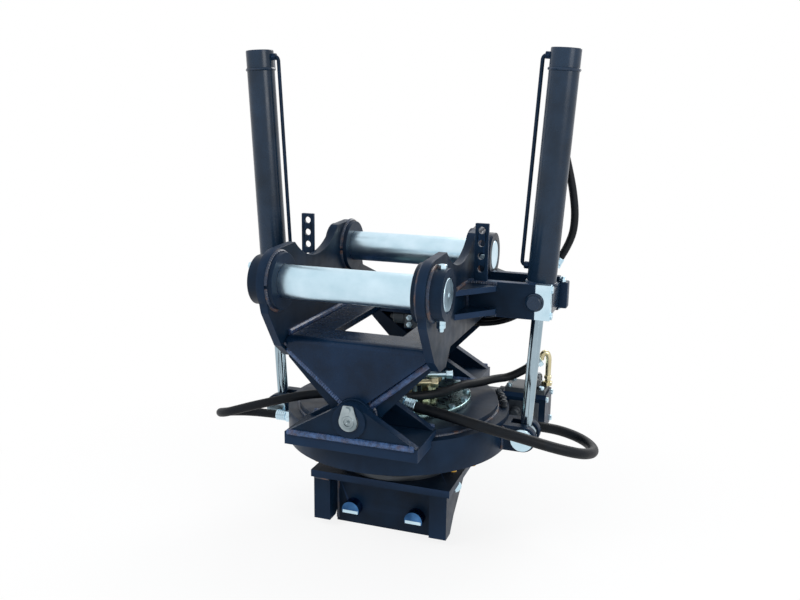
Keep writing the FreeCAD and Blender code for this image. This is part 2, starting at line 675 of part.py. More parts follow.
def build_housing():
    """Rotor housing and all that is on it; returns the relief valve for the fittings."""
    rim = "housing_base + housing_height"
    drum = f"{rim} + drum_height"
    shell = turned(
        "housing_shell",
        (
            ("neck_radius + fit_gap", "housing_base"),
            ("housing_radius", "housing_base"),
            ("housing_radius", rim),
            ("drum_radius", rim),
            ("drum_radius", drum),
            ("wheel_radius + wheel_room", drum),
            ("wheel_radius + wheel_room", "housing_base + housing_floor"),
            ("neck_radius + fit_gap", "housing_base + housing_floor"),
        ),
    )
    worm_y = "wheel_radius + worm_radius + mesh_gap"
    worm_z = "housing_base + housing_floor + wheel_room + wheel_wall / 2"
    case = bar(
        "worm_case", "x", ("-worm_case_half", worm_y, worm_z), "worm_case_radius", "2 * worm_case_half"
    )
    case_low = box(
        "worm_case_flat",
        ("-worm_case_half - 1", "0", "0"),
        ("2 * worm_case_half + 2", "3 * worm_case_radius + wheel_radius", "housing_base"),
    )
    case_part = cut("worm_case_part", case, [case_low])
    inside = bar(
        "case_wheel_room",
        "z",
        ("0", "0", "housing_base + housing_floor"),
        "wheel_radius + wheel_room",
        "housing_height",
    )
    worm_bore = bar(
        "worm_bore",
        "x",
        ("-worm_length / 2 - 1", worm_y, worm_z),
        "worm_radius + worm_play",
        "worm_length + 2",
    )
    journal_bore = bar(
        "journal_bore",
        "x",
        ("-worm_case_half - 1", worm_y, worm_z),
        "journal_radius + fit_gap",
        "2 * worm_case_half + 2",
    )
    motor_room = box(
        "motor_room",
        ("worm_case_half", f"{worm_y} - motor_depth / 2 - face_gap", "0"),
        ("motor_length", "2 * motor_depth", "2 * tilt_axis_height"),
    )
    cover_room = box(
        "cover_room",
        ("-worm_case_half - motor_length", f"{worm_y} - worm_case_radius - face_gap", "0"),
        ("motor_length", "2 * motor_depth", "2 * tilt_axis_height"),
    )
    shell_part = cut("housing_shell_part", shell, [motor_room, cover_room])
    whole = fuse("housing_whole", [shell_part, case_part])
    disc_holes = bolt_holes("disc_tap", 16, 0, "disc_bolt_circle", "disc_bolt_radius", drum, "drum_height")
    plug_holes = [
        bar(
            f"plug_tap_{i}",
            "z",
            (f"plug_circle * cos({angle} deg)", f"plug_circle * sin({angle} deg)", "housing_base - 1"),
            "plug_radius",
            "plug_tap + 1",
        )
        for i, angle in enumerate(PLUG_ANGLES)
    ]
    node(
        "rotor_housing",
        cut("rotor_housing", whole, [inside, worm_bore, journal_bore] + disc_holes + plug_holes),
    )

    plugs = [
        bar(
            f"plug_{i}",
            "z",
            (
                f"plug_circle * cos({angle} deg)",
                f"plug_circle * sin({angle} deg)",
                "housing_base - plug_length",
            ),
            "plug_radius",
            "plug_length + plug_tap",
        )
        for i, angle in enumerate(PLUG_ANGLES)
    ]
    node("brass_plugs", fuse("brass_plugs", plugs))

    low = f"{drum} - ear_base_wall"
    for side, sign, low_y in (("front", -1, "-ear_front"), ("rear", 1, "ear_inner_front - ear_wall")):
        block = box(
            f"{side}_ear_block",
            ("-ear_half - ear_base_lip", low_y, low),
            ("2 * ear_half + 2 * ear_base_lip", "ear_front - ear_inner_front + ear_wall", "ear_base_wall"),
        )
        off_rim = bar(f"{side}_off_rim", "z", ("0", "0", "0"), "housing_radius", rim)
        off_drum = bar(f"{side}_off_drum", "z", ("0", "0", "0"), "drum_radius", f"2 * ({drum})")
        tools = [off_rim, off_drum]
        if side == "rear":
            tools.append(
                bar(
                    "rear_off_case",
                    "x",
                    ("-worm_case_half", worm_y, worm_z),
                    "worm_case_radius",
                    "2 * worm_case_half",
                )
            )
        node(f"{side}_ear_base", cut(f"{side}_ear_base", block, tools))

    ears = (
        ("front_outer_ear", "-ear_front + ear_wall", "-ear_front - ear_ring_proud"),
        ("front_inner_ear", "-ear_inner_front + ear_wall", "-ear_inner_front"),
        ("rear_inner_ear", "ear_inner_front", "ear_inner_front - ear_wall"),
        ("rear_outer_ear", "ear_front", "ear_front - ear_wall"),
    )
    for name, back, ring_front in ears:
        plate = profile(
            f"{name}_plate",
            UPRIGHT,
            ("0", back, "0"),
            (
                ("-ear_half", drum),
                ("ear_half", drum),
                ("ear_ring * 0.5", "tilt_axis_height + ear_ring * 0.866"),
                ("-ear_ring * 0.5", "tilt_axis_height + ear_ring * 0.866"),
            ),
            "ear_wall",
        )
        proud = "ear_ring_proud" if name.endswith("outer_ear") else "0"
        ring = bar(
            f"{name}_ring", "y", ("0", ring_front, "tilt_axis_height"), "ear_ring", f"ear_wall + {proud}"
        )
        bore = bar(
            f"{name}_bore",
            "y",
            ("0", f"{ring_front} - 1", "tilt_axis_height"),
            "tilt_pin_radius + fit_gap",
            "ear_wall + ear_ring_proud + 2",
        )
        node(name, cut(name, fuse(f"{name}_solid", [plate, ring]), [bore]))

    build_rod_lugs()
    build_tilt_pins()
    build_swivel(drum)
    return build_worm(worm_y, worm_z)


def build_rod_lugs():
    """Double-eared lugs beside the housing and the headed pins in their ears."""
    height = "tilt_axis_height - rod_pin_drop"
    inner = "(eye_half + face_gap)"
    ears = []
    for tag, low_y in (("front", f"-{inner} - lug_wall"), ("rear", inner)):
        ears.append(bar(f"lug_round_{tag}", "y", ("rod_pin_out", low_y, height), "lug_radius", "lug_wall"))
        ears.append(
            box(
                f"lug_cheek_{tag}",
                ("drum_radius", low_y, f"{height} - lug_radius"),
                ("rod_pin_out - drum_radius", "lug_wall", "2 * lug_radius"),
            )
        )
    across = "(eye_half + face_gap + lug_wall)"
    web = box(
        "lug_web_block",
        ("drum_radius", f"-{across}", f"{height} - lug_radius"),
        ("housing_radius + lug_web - drum_radius", f"2 * {across}", "2 * lug_radius"),
    )
    off_housing = bar("lug_off_housing", "z", ("0", "0", "0"), "housing_radius", "2 * tilt_axis_height")
    bore = bar(
        "lug_bore",
        "y",
        ("rod_pin_out", f"-{across} - 1", height),
        "rod_pin_radius + fit_gap",
        f"2 * {across} + 2",
    )
    lug = cut("right_rod_lug", fuse("lug_solid", ears + [web]), [off_housing, bore])
    node("right_rod_lug", lug)
    node("left_rod_lug", mirror("left_rod_lug", lug))

    head_y = f"-{across} - rod_pin_head_wall"
    front_pin = bar(
        "rod_pin_front_shank", "y", ("rod_pin_out", f"-{across}", height), "rod_pin_radius", "lug_wall"
    )
    front_head = bar(
        "rod_pin_front_head", "y", ("rod_pin_out", head_y, height), "rod_pin_head", "rod_pin_head_wall"
    )
    rear_pin = bar(
        "rod_pin_rear_shank",
        "y",
        ("rod_pin_out", "eye_half + face_gap", height),
        "rod_pin_radius",
        "lug_wall",
    )
    rear_head = bar(
        "rod_pin_rear_head", "y", ("rod_pin_out", across, height), "rod_pin_head", "rod_pin_head_wall"
    )
    pins = fuse("right_rod_pins", [front_pin, front_head, rear_pin, rear_head])
    node("rod_pins", fuse("rod_pins", [pins, mirror("left_rod_pins", pins)]))


def build_tilt_pins():
    """Tilt pins, their pear-shaped retaining plates and grease nipples."""
    length = "ear_front - ear_inner_front + ear_wall + ear_ring_proud"
    pin_front = "-ear_front - ear_ring_proud"
    pin = bar("front_tilt_pin", "y", ("0", pin_front, "tilt_axis_height"), "tilt_pin_radius", length)
    node("tilt_pins", fuse("tilt_pins", [pin, mirror("rear_tilt_pin", pin, Vector(0, 1, 0))]))
    round_part = bar(
        "retainer_round",
        "y",
        ("0", f"{pin_front} - retainer_wall", "tilt_axis_height"),
        "retainer_radius",
        "retainer_wall",
    )
    neck = profile(
        "retainer_neck",
        UPRIGHT,
        ("0", pin_front, "tilt_axis_height"),
        (
            ("-retainer_radius * 0.985", "retainer_radius * 0.17"),
            ("retainer_radius * 0.985", "retainer_radius * 0.17"),
            ("retainer_top_half", "retainer_top"),
            ("-retainer_top_half", "retainer_top"),
        ),
        "retainer_wall",
    )
    nipple = bar(
        "front_nipple",
        "y",
        ("0", f"{pin_front} - retainer_wall - nipple_length", "tilt_axis_height"),
        "nipple_radius",
        "nipple_length",
    )
    plate = fuse("front_retainer", [round_part, neck, nipple])
    node("pin_retainers", fuse("pin_retainers", [plate, mirror("rear_retainer", plate, Vector(0, 1, 0))]))


def build_swivel(drum):
    """Plated swivel disc with its bolts and the hub of the oil swivel."""
    disc = bar("swivel_disc_blank", "z", ("0", "0", drum), "disc_radius", "disc_wall")
    top = f"{drum} + disc_wall"
    holes = bolt_holes("disc_hole", 16, 0, "disc_bolt_circle", "disc_bolt_radius", top, "disc_wall")
    node("swivel_disc", cut("swivel_disc", disc, holes))
    node(
        "swivel_bolts",
        ring_of_bolts(
            "swivel_bolts",
            16,
            0,
            "disc_bolt_circle",
            "disc_bolt_radius",
            top,
            "disc_wall + drum_height - 2",
            "disc_bolt_radius",
        ),
    )
    node(
        "swivel_hub",
        turned(
            "swivel_hub",
            (
                ("0", top),
                ("hub_radius", top),
                ("hub_radius", f"{top} + hub_height"),
                ("hub_cap_radius", f"{top} + hub_height"),
                ("hub_cap_radius", f"{top} + hub_height + hub_cap_height"),
                ("0", f"{top} + hub_height + hub_cap_height"),
            ),
        ),
    )


def build_worm(worm_y, worm_z):
    """Worm shaft, its end cover and the hydraulic motor; returns the motor's relief valve."""
    worm = bar("worm_thread", "x", ("-worm_length / 2", worm_y, worm_z), "worm_radius", "worm_length")
    journals = bar(
        "worm_journals", "x", ("-worm_case_half", worm_y, worm_z), "journal_radius", "2 * worm_case_half"
    )
    node("worm_shaft", fuse("worm_shaft", [worm, journals]))
    node(
        "worm_cover",
        bar(
            "worm_cover",
            "x",
            ("-worm_case_half - worm_cap_wall - end_seat", worm_y, worm_z),
            "worm_case_radius",
            "worm_cap_wall",
        ),
    )
    flange_x = "worm_case_half + end_seat"
    flange = bar(
        "motor_flange",
        "x",
        (flange_x, worm_y, worm_z),
        "worm_case_radius + motor_flange_lip",
        "motor_flange_wall",
    )
    body = profile(
        "motor_block",
        SIDEWAYS,
        (f"{flange_x} + motor_flange_wall", worm_y, worm_z),
        (
            ("-motor_depth / 2", "-motor_height / 2 + motor_round"),
            ("-motor_depth / 2 + motor_round", "-motor_height / 2"),
            ("motor_depth / 2 - motor_round", "-motor_height / 2"),
            ("motor_depth / 2", "-motor_height / 2 + motor_round"),
            ("motor_depth / 2", "motor_height / 2 - motor_round"),
            ("motor_depth / 2 - motor_round", "motor_height / 2"),
            ("-motor_depth / 2 + motor_round", "motor_height / 2"),
            ("-motor_depth / 2", "motor_height / 2 - motor_round"),
        ),
        "motor_length",
    )
    node("motor_body", fuse("motor_body", [flange, body]))
    cover = box(
        "motor_cover",
        (
            f"{flange_x} + motor_flange_wall + 4",
            f"{worm_y} - motor_depth / 2 + motor_round",
            f"{worm_z} + motor_height / 2",
        ),
        ("motor_length - 8", "motor_depth - 2 * motor_round", "motor_cover_wall"),
    )
    node("motor_cover", cover)
    relief = bar(
        "relief_valve",
        "y",
        (
            f"{flange_x} + motor_flange_wall + motor_length * relief_place",
            f"{worm_y} - motor_depth / 2 - relief_length",
            worm_z,
        ),
        "relief_radius",
        "relief_length",
    )
    return relief


def build_side_plates():
    """Side plates with lobes, bosses and the bores for the coupling pins."""
    front_z = "tilt_axis_height + front_pin_rise"
    rear_z = "tilt_axis_height + rear_pin_rise"
    foot_z = "tilt_axis_height + leg_foot"
    edge_z = "tilt_axis_height + deck_top - deck_wall"
    web = profile(
        "side_plate_web",
        SIDEWAYS,
        ("plate_inner", "0", "0"),
        (
            ("-front_pin_y", f"{front_z} + front_lobe"),
            ("-front_pin_y - front_lobe", front_z),
            ("-front_pin_y - front_lobe * 0.72", f"{front_z} - front_lobe * 0.9"),
            ("-deck_front - 14", f"{edge_z} - 4"),
            ("-leg_front", foot_z),
            ("-leg_back", foot_z),
            ("-leg_root", edge_z),
            ("leg_root", edge_z),
            ("leg_back", foot_z),
            ("leg_front", foot_z),
            ("deck_front", f"{edge_z} - 4"),
            ("deck_front - 12", f"{edge_z} + 50"),
            ("rear_pin_y + rear_lobe + 22", f"{rear_z} - rear_lobe"),
            ("rear_pin_y + rear_lobe", rear_z),
            ("rear_pin_y", f"{rear_z} + rear_lobe"),
        ),
        "plate_wall",
    )
    pieces = [web]
    bores = []
    for tag, y, z, lobe in (
        ("front", "-front_pin_y", front_z, "front_lobe"),
        ("rear", "rear_pin_y", rear_z, "rear_lobe"),
    ):
        outer_x = "plate_inner + plate_wall"
        pieces.append(bar(f"{tag}_lobe", "x", ("plate_inner", y, z), lobe, "plate_wall"))
        pieces.append(
            bar(
                f"{tag}_inner_boss",
                "x",
                ("plate_inner - boss_inner_length", y, z),
                "boss_inner_radius",
                "boss_inner_length",
            )
        )
        pieces.append(
            bar(
                f"{tag}_outer_boss",
                "x",
                (outer_x, y, z),
                "boss_outer_radius",
                "boss_outer_length",
            )
        )
        bores.append(
            bar(
                f"{tag}_pin_bore",
                "x",
                ("plate_inner - boss_inner_length - 1", y, z),
                "pin_radius + fit_gap",
                "boss_inner_length + plate_wall + boss_outer_length + 2",
            )
        )
    saddle = bar(
        "saddle",
        "x",
        ("plate_inner - 1", "-saddle_y", "tilt_axis_height + saddle_low + saddle_radius"),
        "saddle_radius",
        "plate_wall + 2",
    )
    plate_hollow = cut("side_plate_hollow", web, [saddle])
    solid = fuse("side_plate_solid", [plate_hollow] + pieces[1:])
    plain = cut("side_plate_plain", solid, bores)
    node("left_side_plate", mirror("left_side_plate", plain))

    bolt_x = "plate_inner + plate_wall + boss_outer_length / 2"
    across = "2 * boss_outer_radius + 2"
    holes = {
        "front": bar(
            "front_lock_hole",
            "z",
            (bolt_x, "-front_pin_y", f"{front_z} - boss_outer_radius - 1"),
            "lock_bolt_radius + fit_gap",
            across,
        ),
        "rear": bar(
            "rear_lock_hole",
            "y",
            (bolt_x, "rear_pin_y - boss_outer_radius - 1", rear_z),
            "lock_bolt_radius + fit_gap",
            across,
        ),
    }
    node("right_side_plate", cut("right_side_plate", plain, list(holes.values())))

    half = "(plate_inner + plate_wall + boss_outer_length)"
    for tag, y, z in (("front", "-front_pin_y", front_z), ("rear", "rear_pin_y", rear_z)):
        blank = bar(f"{tag}_pin_blank", "x", (f"-{half}", y, z), "pin_radius", f"2 * {half}")
        node(f"{tag}_coupling_pin", cut(f"{tag}_coupling_pin", blank, [holes[tag]]))

    head = "lock_bolt_radius * bolt_head_ratio"
    shank = "2 * boss_outer_radius"
    low_z = f"{front_z} - boss_outer_radius"
    low_y = "rear_pin_y - boss_outer_radius"
    bolts = [
        bar("front_lock_shank", "z", (bolt_x, "-front_pin_y", low_z), "lock_bolt_radius", shank),
        hexagon(
            "front_lock_head",
            "z",
            (bolt_x, "-front_pin_y", f"{front_z} + boss_outer_radius"),
            head,
            "lock_bolt_head",
        ),
        hexagon(
            "front_lock_nut",
            "z",
            (bolt_x, "-front_pin_y", f"{low_z} - 2 * lock_bolt_head"),
            head,
            "2 * lock_bolt_head",
        ),
        bar("rear_lock_shank", "y", (bolt_x, low_y, rear_z), "lock_bolt_radius", shank),
        hexagon("rear_lock_head", "y", (bolt_x, f"{low_y} - lock_bolt_head", rear_z), head, "lock_bolt_head"),
        hexagon(
            "rear_lock_nut",
            "y",
            (bolt_x, "rear_pin_y + boss_outer_radius", rear_z),
            head,
            "2 * lock_bolt_head",
        ),
    ]
    node("pin_lock_bolts", fuse("pin_lock_bolts", bolts))


def build_deck():
    """Deck folded down at both ends, with its window, and the tilt webs with their tubes."""
    deck_z = "tilt_axis_height + deck_top"
    shelf = box(
        "deck_shelf",
        ("-plate_inner", "-deck_front", f"{deck_z} - deck_wall"),
        ("2 * plate_inner", "2 * deck_front", "deck_wall"),
    )
    window = box(
        "deck_window",
        ("-window_half", "-window_front", f"{deck_z} - deck_wall - 1"),
        ("2 * window_half", "window_front + window_rear", "deck_wall + 2"),
    )
    corner_z = "tilt_axis_height + leg_foot + web_rise"
    apex_z = "tilt_axis_height + tilt_tube_radius / 2"
    folds = []
    for tag, back in (("front", "-deck_front + deck_wall"), ("rear", "deck_front")):
        folds.append(
            profile(
                f"{tag}_fold",
                UPRIGHT,
                ("0", back, "0"),
                (
                    ("-plate_inner", deck_z),
                    ("-plate_inner", corner_z),
                    ("-tilt_tube_radius / 3", apex_z),
                    ("tilt_tube_radius / 3", apex_z),
                    ("plate_inner", corner_z),
                    ("plate_inner", deck_z),
                ),
                "deck_wall",
            )
        )
    folded = fuse("deck_folded", [shelf] + folds)
    tube_room = bar(
        "deck_tube_room",
        "y",
        ("0", "-deck_front - 1", "tilt_axis_height"),
        "tilt_tube_radius",
        "2 * deck_front + 2",
    )
    sharp = cut("deck_sharp", folded, [window, tube_room])
    doc.recompute()
    bends = []
    top = number_of(deck_z)
    for i, edge in enumerate(sharp.Shape.Edges, start=1):
        ends = [vertex.Point for vertex in edge.Vertexes]
        at_top = all(abs(end.z - top) < 0.01 for end in ends)
        at_fold = all(abs(abs(end.y) - number_of("deck_front")) < 0.01 for end in ends)
        if at_top and at_fold:
            bends.append((i, number_of("deck_bend"), number_of("deck_bend")))
    rounded = doc.addObject("Part::Fillet", "deck_plate")
    rounded.Base = sharp
    rounded.Edges = bends
    node("deck_plate", rounded)

    foot_z = "tilt_axis_height + leg_foot"
    tube_low = "ear_inner_front + face_gap"
    tube_high = "ear_front - ear_wall - face_gap"
    vee = profile(
        "front_web_vee",
        UPRIGHT,
        ("0", f"-({tube_low})", "0"),
        (
            ("-plate_inner", foot_z),
            ("-tilt_tube_radius * 0.72", "tilt_axis_height - tilt_tube_radius * 0.6"),
            ("tilt_tube_radius * 0.72", "tilt_axis_height - tilt_tube_radius * 0.6"),
            ("plate_inner", foot_z),
            ("plate_inner", f"{foot_z} + web_rise"),
            ("0", "tilt_axis_height + tilt_tube_radius * 0.6"),
            ("-plate_inner", f"{foot_z} + web_rise"),
        ),
        "deck_front - deck_wall - ear_inner_front - face_gap",
    )
    tube = bar(
        "front_tilt_tube",
        "y",
        ("0", f"-({tube_high})", "tilt_axis_height"),
        "tilt_tube_radius",
        f"{tube_high} - ({tube_low})",
    )
    bore = bar(
        "front_tube_bore",
        "y",
        ("0", "-ear_front", "tilt_axis_height"),
        "tilt_pin_radius + fit_gap + bush_wall",
        "ear_front",
    )
    web = cut("front_tilt_web", fuse("front_web_solid", [vee, tube]), [bore])
    node("front_tilt_web", web)
    node("rear_tilt_web", mirror("rear_tilt_web", web, Vector(0, 1, 0)))
    bushes = []
    for tag, start in (("outer", f"-({tube_high})"), ("inner", f"-({tube_low}) - bush_length")):
        sleeve = bar(
            f"{tag}_bush_outside",
            "y",
            ("0", start, "tilt_axis_height"),
            "tilt_pin_radius + fit_gap + bush_wall",
            "bush_length",
        )
        eye = bar(
            f"{tag}_bush_bore",
            "y",
            ("0", "-ear_front", "tilt_axis_height"),
            "tilt_pin_radius + fit_gap",
            "ear_front",
        )
        bush = cut(f"{tag}_tilt_bush", sleeve, [eye])
        bushes += [bush, mirror(f"rear_{tag}_tilt_bush", bush, Vector(0, 1, 0))]
    node("tilt_bushes", fuse("tilt_bushes", bushes))


def build_arms():
    """Forked arms with gussets, trunnion caps, cap bolts and the perforated hose brackets."""
    low_z = "tilt_axis_height + trunnion_rise - bar_height / 2"
    start_x = "plate_inner + plate_wall"
    pieces = []
    for tag, low_y in (("front", "-bar_gap_half - bar_wall"), ("rear", "bar_gap_half")):
        pieces.append(
            box(
                f"{tag}_arm_bar",
                (start_x, low_y, low_z),
                (f"trunnion_out - ({start_x})", "bar_wall", "bar_height"),
            )
        )
    face = "bar_gap_half + bar_wall"
    for tag, sign in (("front", "-"), ("rear", "")):
        for level, rise in (("upper", "gusset_spread"), ("lower", "-gusset_spread - gusset_wall")):
            pieces.append(
                profile(
                    f"{tag}_{level}_gusset",
                    FLAT,
                    ("0", "0", f"tilt_axis_height + trunnion_rise + {rise}"),
                    (
                        (start_x, f"{sign}({face})"),
                        (f"{start_x} + gusset_out", f"{sign}({face})"),
                        (f"{start_x} + gusset_out", f"{sign}({face} + gusset_nose)"),
                        (start_x, f"{sign}({face} + gusset_back)"),
                    ),
                    "gusset_wall",
                )
            )
    trunnion_z = "tilt_axis_height + trunnion_rise"
    seat = bar(
        "trunnion_seat",
        "y",
        ("trunnion_out", f"-({face}) - 1", trunnion_z),
        "trunnion_radius + fit_gap",
        f"2 * ({face}) + 2",
    )
    boss_room = bar(
        "arm_boss_room",
        "x",
        (start_x, "rear_pin_y", "tilt_axis_height + rear_pin_rise"),
        "boss_outer_radius + end_seat",
        "boss_outer_length + end_seat",
    )
    arm = cut("right_arm", fuse("arm_solid", pieces), [seat, boss_room])
    node("right_arm", arm)
    node("left_arm", mirror("left_arm", arm))

    for tag, low_y in (("front", "-bar_gap_half - bar_wall"), ("rear", "bar_gap_half")):
        block = box(
            f"{tag}_cap_block", ("trunnion_out", low_y, low_z), ("cap_length", "bar_wall", "bar_height")
        )
        cap = cut(f"right_{tag}_cap", block, [seat])
        node(f"{tag}_trunnion_caps", fuse(f"{tag}_trunnion_caps", [cap, mirror(f"left_{tag}_cap", cap)]))

    bolts = []
    for tag, y in (("front", "-bar_gap_half - bar_wall / 2"), ("rear", "bar_gap_half + bar_wall / 2")):
        for level, sign in (("upper", "+"), ("lower", "-")):
            where = ("trunnion_out + cap_length", y, f"{trunnion_z} {sign} cap_bolt_spread")
            bolts.append(
                hexagon(
                    f"{tag}_{level}_cap_bolt",
                    "x",
                    where,
                    "cap_bolt_radius * bolt_head_ratio",
                    "cap_bolt_head",
                )
            )
    group = fuse("right_cap_bolts", bolts)
    node("cap_bolts", fuse("cap_bolts", [group, mirror("left_cap_bolts", group)]))

    bracket_y = f"-({face})"
    bracket_x = f"{start_x} + bracket_out"
    top_z = "tilt_axis_height + trunnion_rise + bar_height / 2"
    blank = box(
        "bracket_blank",
        (bracket_x, bracket_y, top_z),
        ("bracket_width", "bracket_wall", "bracket_height"),
    )
    holes = [
        bar(
            f"bracket_hole_{i}",
            "y",
            (
                f"{bracket_x} + bracket_width / 2",
                f"{bracket_y} - 1",
                f"{top_z} + bracket_height - bracket_pitch * {i} - bracket_width / 2",
            ),
            "bracket_hole",
            "bracket_wall + 2",
        )
        for i in range(4)
    ]
    bracket = cut("right_hose_bracket", blank, holes)
    node("hose_brackets", fuse("hose_brackets", [bracket, mirror("left_hose_bracket", bracket)]))


def build_cylinders():
    """Tilt cylinders, drawn upright at the right trunnion and leaned onto their rod pins."""
    centre_x = "trunnion_out"
    centre_z = "tilt_axis_height + trunnion_rise"
    out = number_of("trunnion_out - rod_pin_out")
    up = number_of("trunnion_rise + rod_pin_drop")
    lean = Rotation(Vector(0, 1, 0), math.degrees(math.atan2(out, up)))
    pivot = Vector(number_of(centre_x), 0, number_of(centre_z))
    reach = math.hypot(out, up)
    leaned = Placement(Vector(0, 0, 0), lean, pivot)

    def at(rise, x="0", y="0"):
        return (f"{centre_x} + {x}", y, f"{centre_z} + {rise}")

    tube = bar("barrel_tube", "z", at("(-tube_foot)"), "tube_radius", "tube_rise + tube_foot")
    block = box(
        "barrel_block",
        at("(-block_height / 2)", "(-block_half)", "-bar_gap_half + face_gap"),
        ("2 * block_half", "2 * bar_gap_half - 2 * face_gap", "block_height"),
    )
    pins = bar(
        "barrel_trunnions",
        "y",
        (centre_x, "-bar_gap_half - bar_wall - 4", centre_z),
        "trunnion_radius",
        "2 * bar_gap_half + 2 * bar_wall + 8",
    )
    bead = doc.addObject("Part::Torus", "barrel_bead")
    bead.setExpression("Radius1", bound("tube_radius"))
    bead.setExpression("Radius2", bound("bead_radius"))
    place(bead, FLAT, at("tube_rise - bead_drop"))
    port = box(
        "barrel_port",
        at("tube_rise - port_block_height - 6", "(-port_block / 2)", "tube_radius * 0.8"),
        ("port_block", "port_block", "port_block_height"),
    )
    bore = bar(
        "barrel_bore",
        "z",
        at("(-tube_foot) - 1"),
        "tube_radius - tube_wall",
        "tube_foot + tube_rise - end_cap_wall + 1",
    )
    barrel = cut("right_barrel", fuse("barrel_solid", [tube, block, pins, bead, port]), [bore])

    gland_ring = bar(
        "gland_ring", "z", at("(-tube_foot)"), "tube_radius - tube_wall - fit_gap", "gland_length"
    )
    gland_flange = bar(
        "gland_flange", "z", at("(-tube_foot) - gland_flange"), "tube_radius - 1", "gland_flange"
    )
    gland_bore = bar(
        "gland_bore",
        "z",
        at("(-tube_foot) - gland_flange - 1"),
        "rod_radius + fit_gap",
        "gland_length + gland_flange + 2",
    )
    gland = cut("right_gland", fuse("gland_solid", [gland_ring, gland_flange]), [gland_bore])

    eye = bar("rod_eye", "y", at(f"(-{reach})", "0", "-eye_half"), "eye_radius", "2 * eye_half")
    shank = bar("rod_shank", "z", at(f"(-{reach})"), "rod_radius", f"{reach} + piston_above")
    eye_bore = bar(
        "rod_eye_bore",
        "y",
        at(f"(-{reach})", "0", "-eye_half - 1"),
        "rod_pin_radius + fit_gap",
        "2 * eye_half + 2",
    )
    rod = cut("right_rod", fuse("rod_solid", [eye, shank]), [eye_bore])
    piston_disc = bar(
        "piston_disc", "z", at("piston_above"), "tube_radius - tube_wall - fit_gap", "piston_wall"
    )
    piston_nut = hexagon(
        "piston_nut", "z", at("piston_above + piston_wall"), "rod_radius * bolt_head_ratio", "piston_nut_wall"
    )
    piston = fuse("right_piston", [piston_disc, piston_nut])

    pipe = doc.addObject("Part::Feature", "right_oil_pipe")
    pipe.Shape = oil_pipe(pivot)

    for name, thing in (
        ("barrel", barrel),
        ("gland", gland),
        ("rod", rod),
        ("piston", piston),
        ("oil_pipe", pipe),
    ):
        thing.Placement = leaned
        node(f"right_{name}", thing)
        node(f"left_{name}", mirror(f"left_{name}", thing))


def oil_pipe(pivot):
    """Steel pipe from the cylinder's top down its inner side, bent at both ends."""
    inner = number_of("tube_radius") * 0.98
    off = number_of("pipe_off")
    bend = number_of("pipe_bend")
    high = number_of("tube_rise - pipe_top_drop")
    low = number_of("pipe_foot")

    def point(across, rise):
        return pivot + Vector(-across, 0, rise)

    half = bend * math.sqrt(0.5)
    edges = [
        Part.LineSegment(point(inner, high), point(off - bend, high)),
        Part.Arc(
            point(off - bend, high),
            point(off - bend + half, high - bend + half),
            point(off, high - bend),
        ),
        Part.LineSegment(point(off, high - bend), point(off, low + bend)),
        Part.Arc(point(off, low + bend), point(off - bend + half, low + bend - half), point(off - bend, low)),
        Part.LineSegment(point(off - bend, low), point(inner, low)),
    ]
    path = Part.Wire([edge.toShape() for edge in edges])
    ring = Part.Circle(point(inner, high), Vector(1, 0, 0), number_of("pipe_radius")).toShape()
    tube = path.makePipeShell([Part.Wire([ring])], True, False)
    shell_room = Part.makeCylinder(
        number_of("tube_radius"), 3 * high, point(0, -high), Vector(0, 0, 1)
    )
    return tube.cut(shell_room)


def build_valve():
    """Valve block hung under the deck; returns its knob for the fittings."""
    low = "tilt_axis_height + deck_top - deck_wall - valve_height"
    block = box(
        "valve_block",
        ("valve_x - valve_width / 2", "valve_y - valve_depth / 2", low),
        ("valve_width", "valve_depth", "valve_height"),
    )
    node("valve_block", block)
    knob = bar(
        "valve_knob",
        "x",
        ("valve_x - valve_width / 2 - knob_length", "valve_y", f"{low} + valve_height / 2"),
        "knob_radius",
        "knob_length",
    )
    return knob


def nut(start, way, radius, length):
    """A six-sided nut from a point along a way, sized by its corner radius."""
    across = way.cross(Vector(0.31, 0.17, 0.93))
    across.normalize()
    corners = []
    for i in range(7):
        corners.append(start + Rotation(way, 60.0 * i).multVec(across) * radius)
    face = Part.Face(Part.makePolygon(corners))
    axis = Vector(way)
    axis.normalize()
    return face.extrude(axis * length)


def hose_path(name, points):
    """Straight runs joined by tangent arcs, each arc as large as its two runs allow."""
    edges = []
    radii = []
    at = points[0]
    for before, corner, after in zip(points, points[1:], points[2:]):
        back = before.sub(corner)
        onward = after.sub(corner)
        half_turn = (math.pi - back.getAngle(onward)) / 2
        trim = 0.45 * min(back.Length, onward.Length)
        radius = trim / math.tan(half_turn)
        radii.append(radius)
        back.normalize()
        onward.normalize()
        begin = corner + back * trim
        end = corner + onward * trim
        bisector = back + onward
        bisector.normalize()
        middle = corner + bisector * (radius / math.cos(half_turn) - radius)
        edges.append(Part.LineSegment(at, begin))
        edges.append(Part.Arc(begin, middle, end))
        at = end
    edges.append(Part.LineSegment(at, points[-1]))
    path = Part.Wire([edge.toShape() for edge in edges])
    print(name, "length", round(path.Length), "radii", [round(radius) for radius in radii])
    return path


def hose(name, points, radius):
    """A hose swept along its route, its volume compared with its section times its length."""
    path = hose_path(name, points)
    way = points[1].sub(points[0])
    ring = Part.Wire([Part.Circle(points[0], way, radius).toShape()])
    solid = path.makePipeShell([ring], True, False)
    expected = math.pi * radius**2 * path.Length
    if abs(solid.Volume / expected - 1) > 0.01:
        raise RuntimeError(f"{name}: volume {solid.Volume:.0f} instead of {expected:.0f}")
    thing = doc.addObject("Part::Feature", name)
    thing.Shape = solid
    node(name, thing)
    return thing


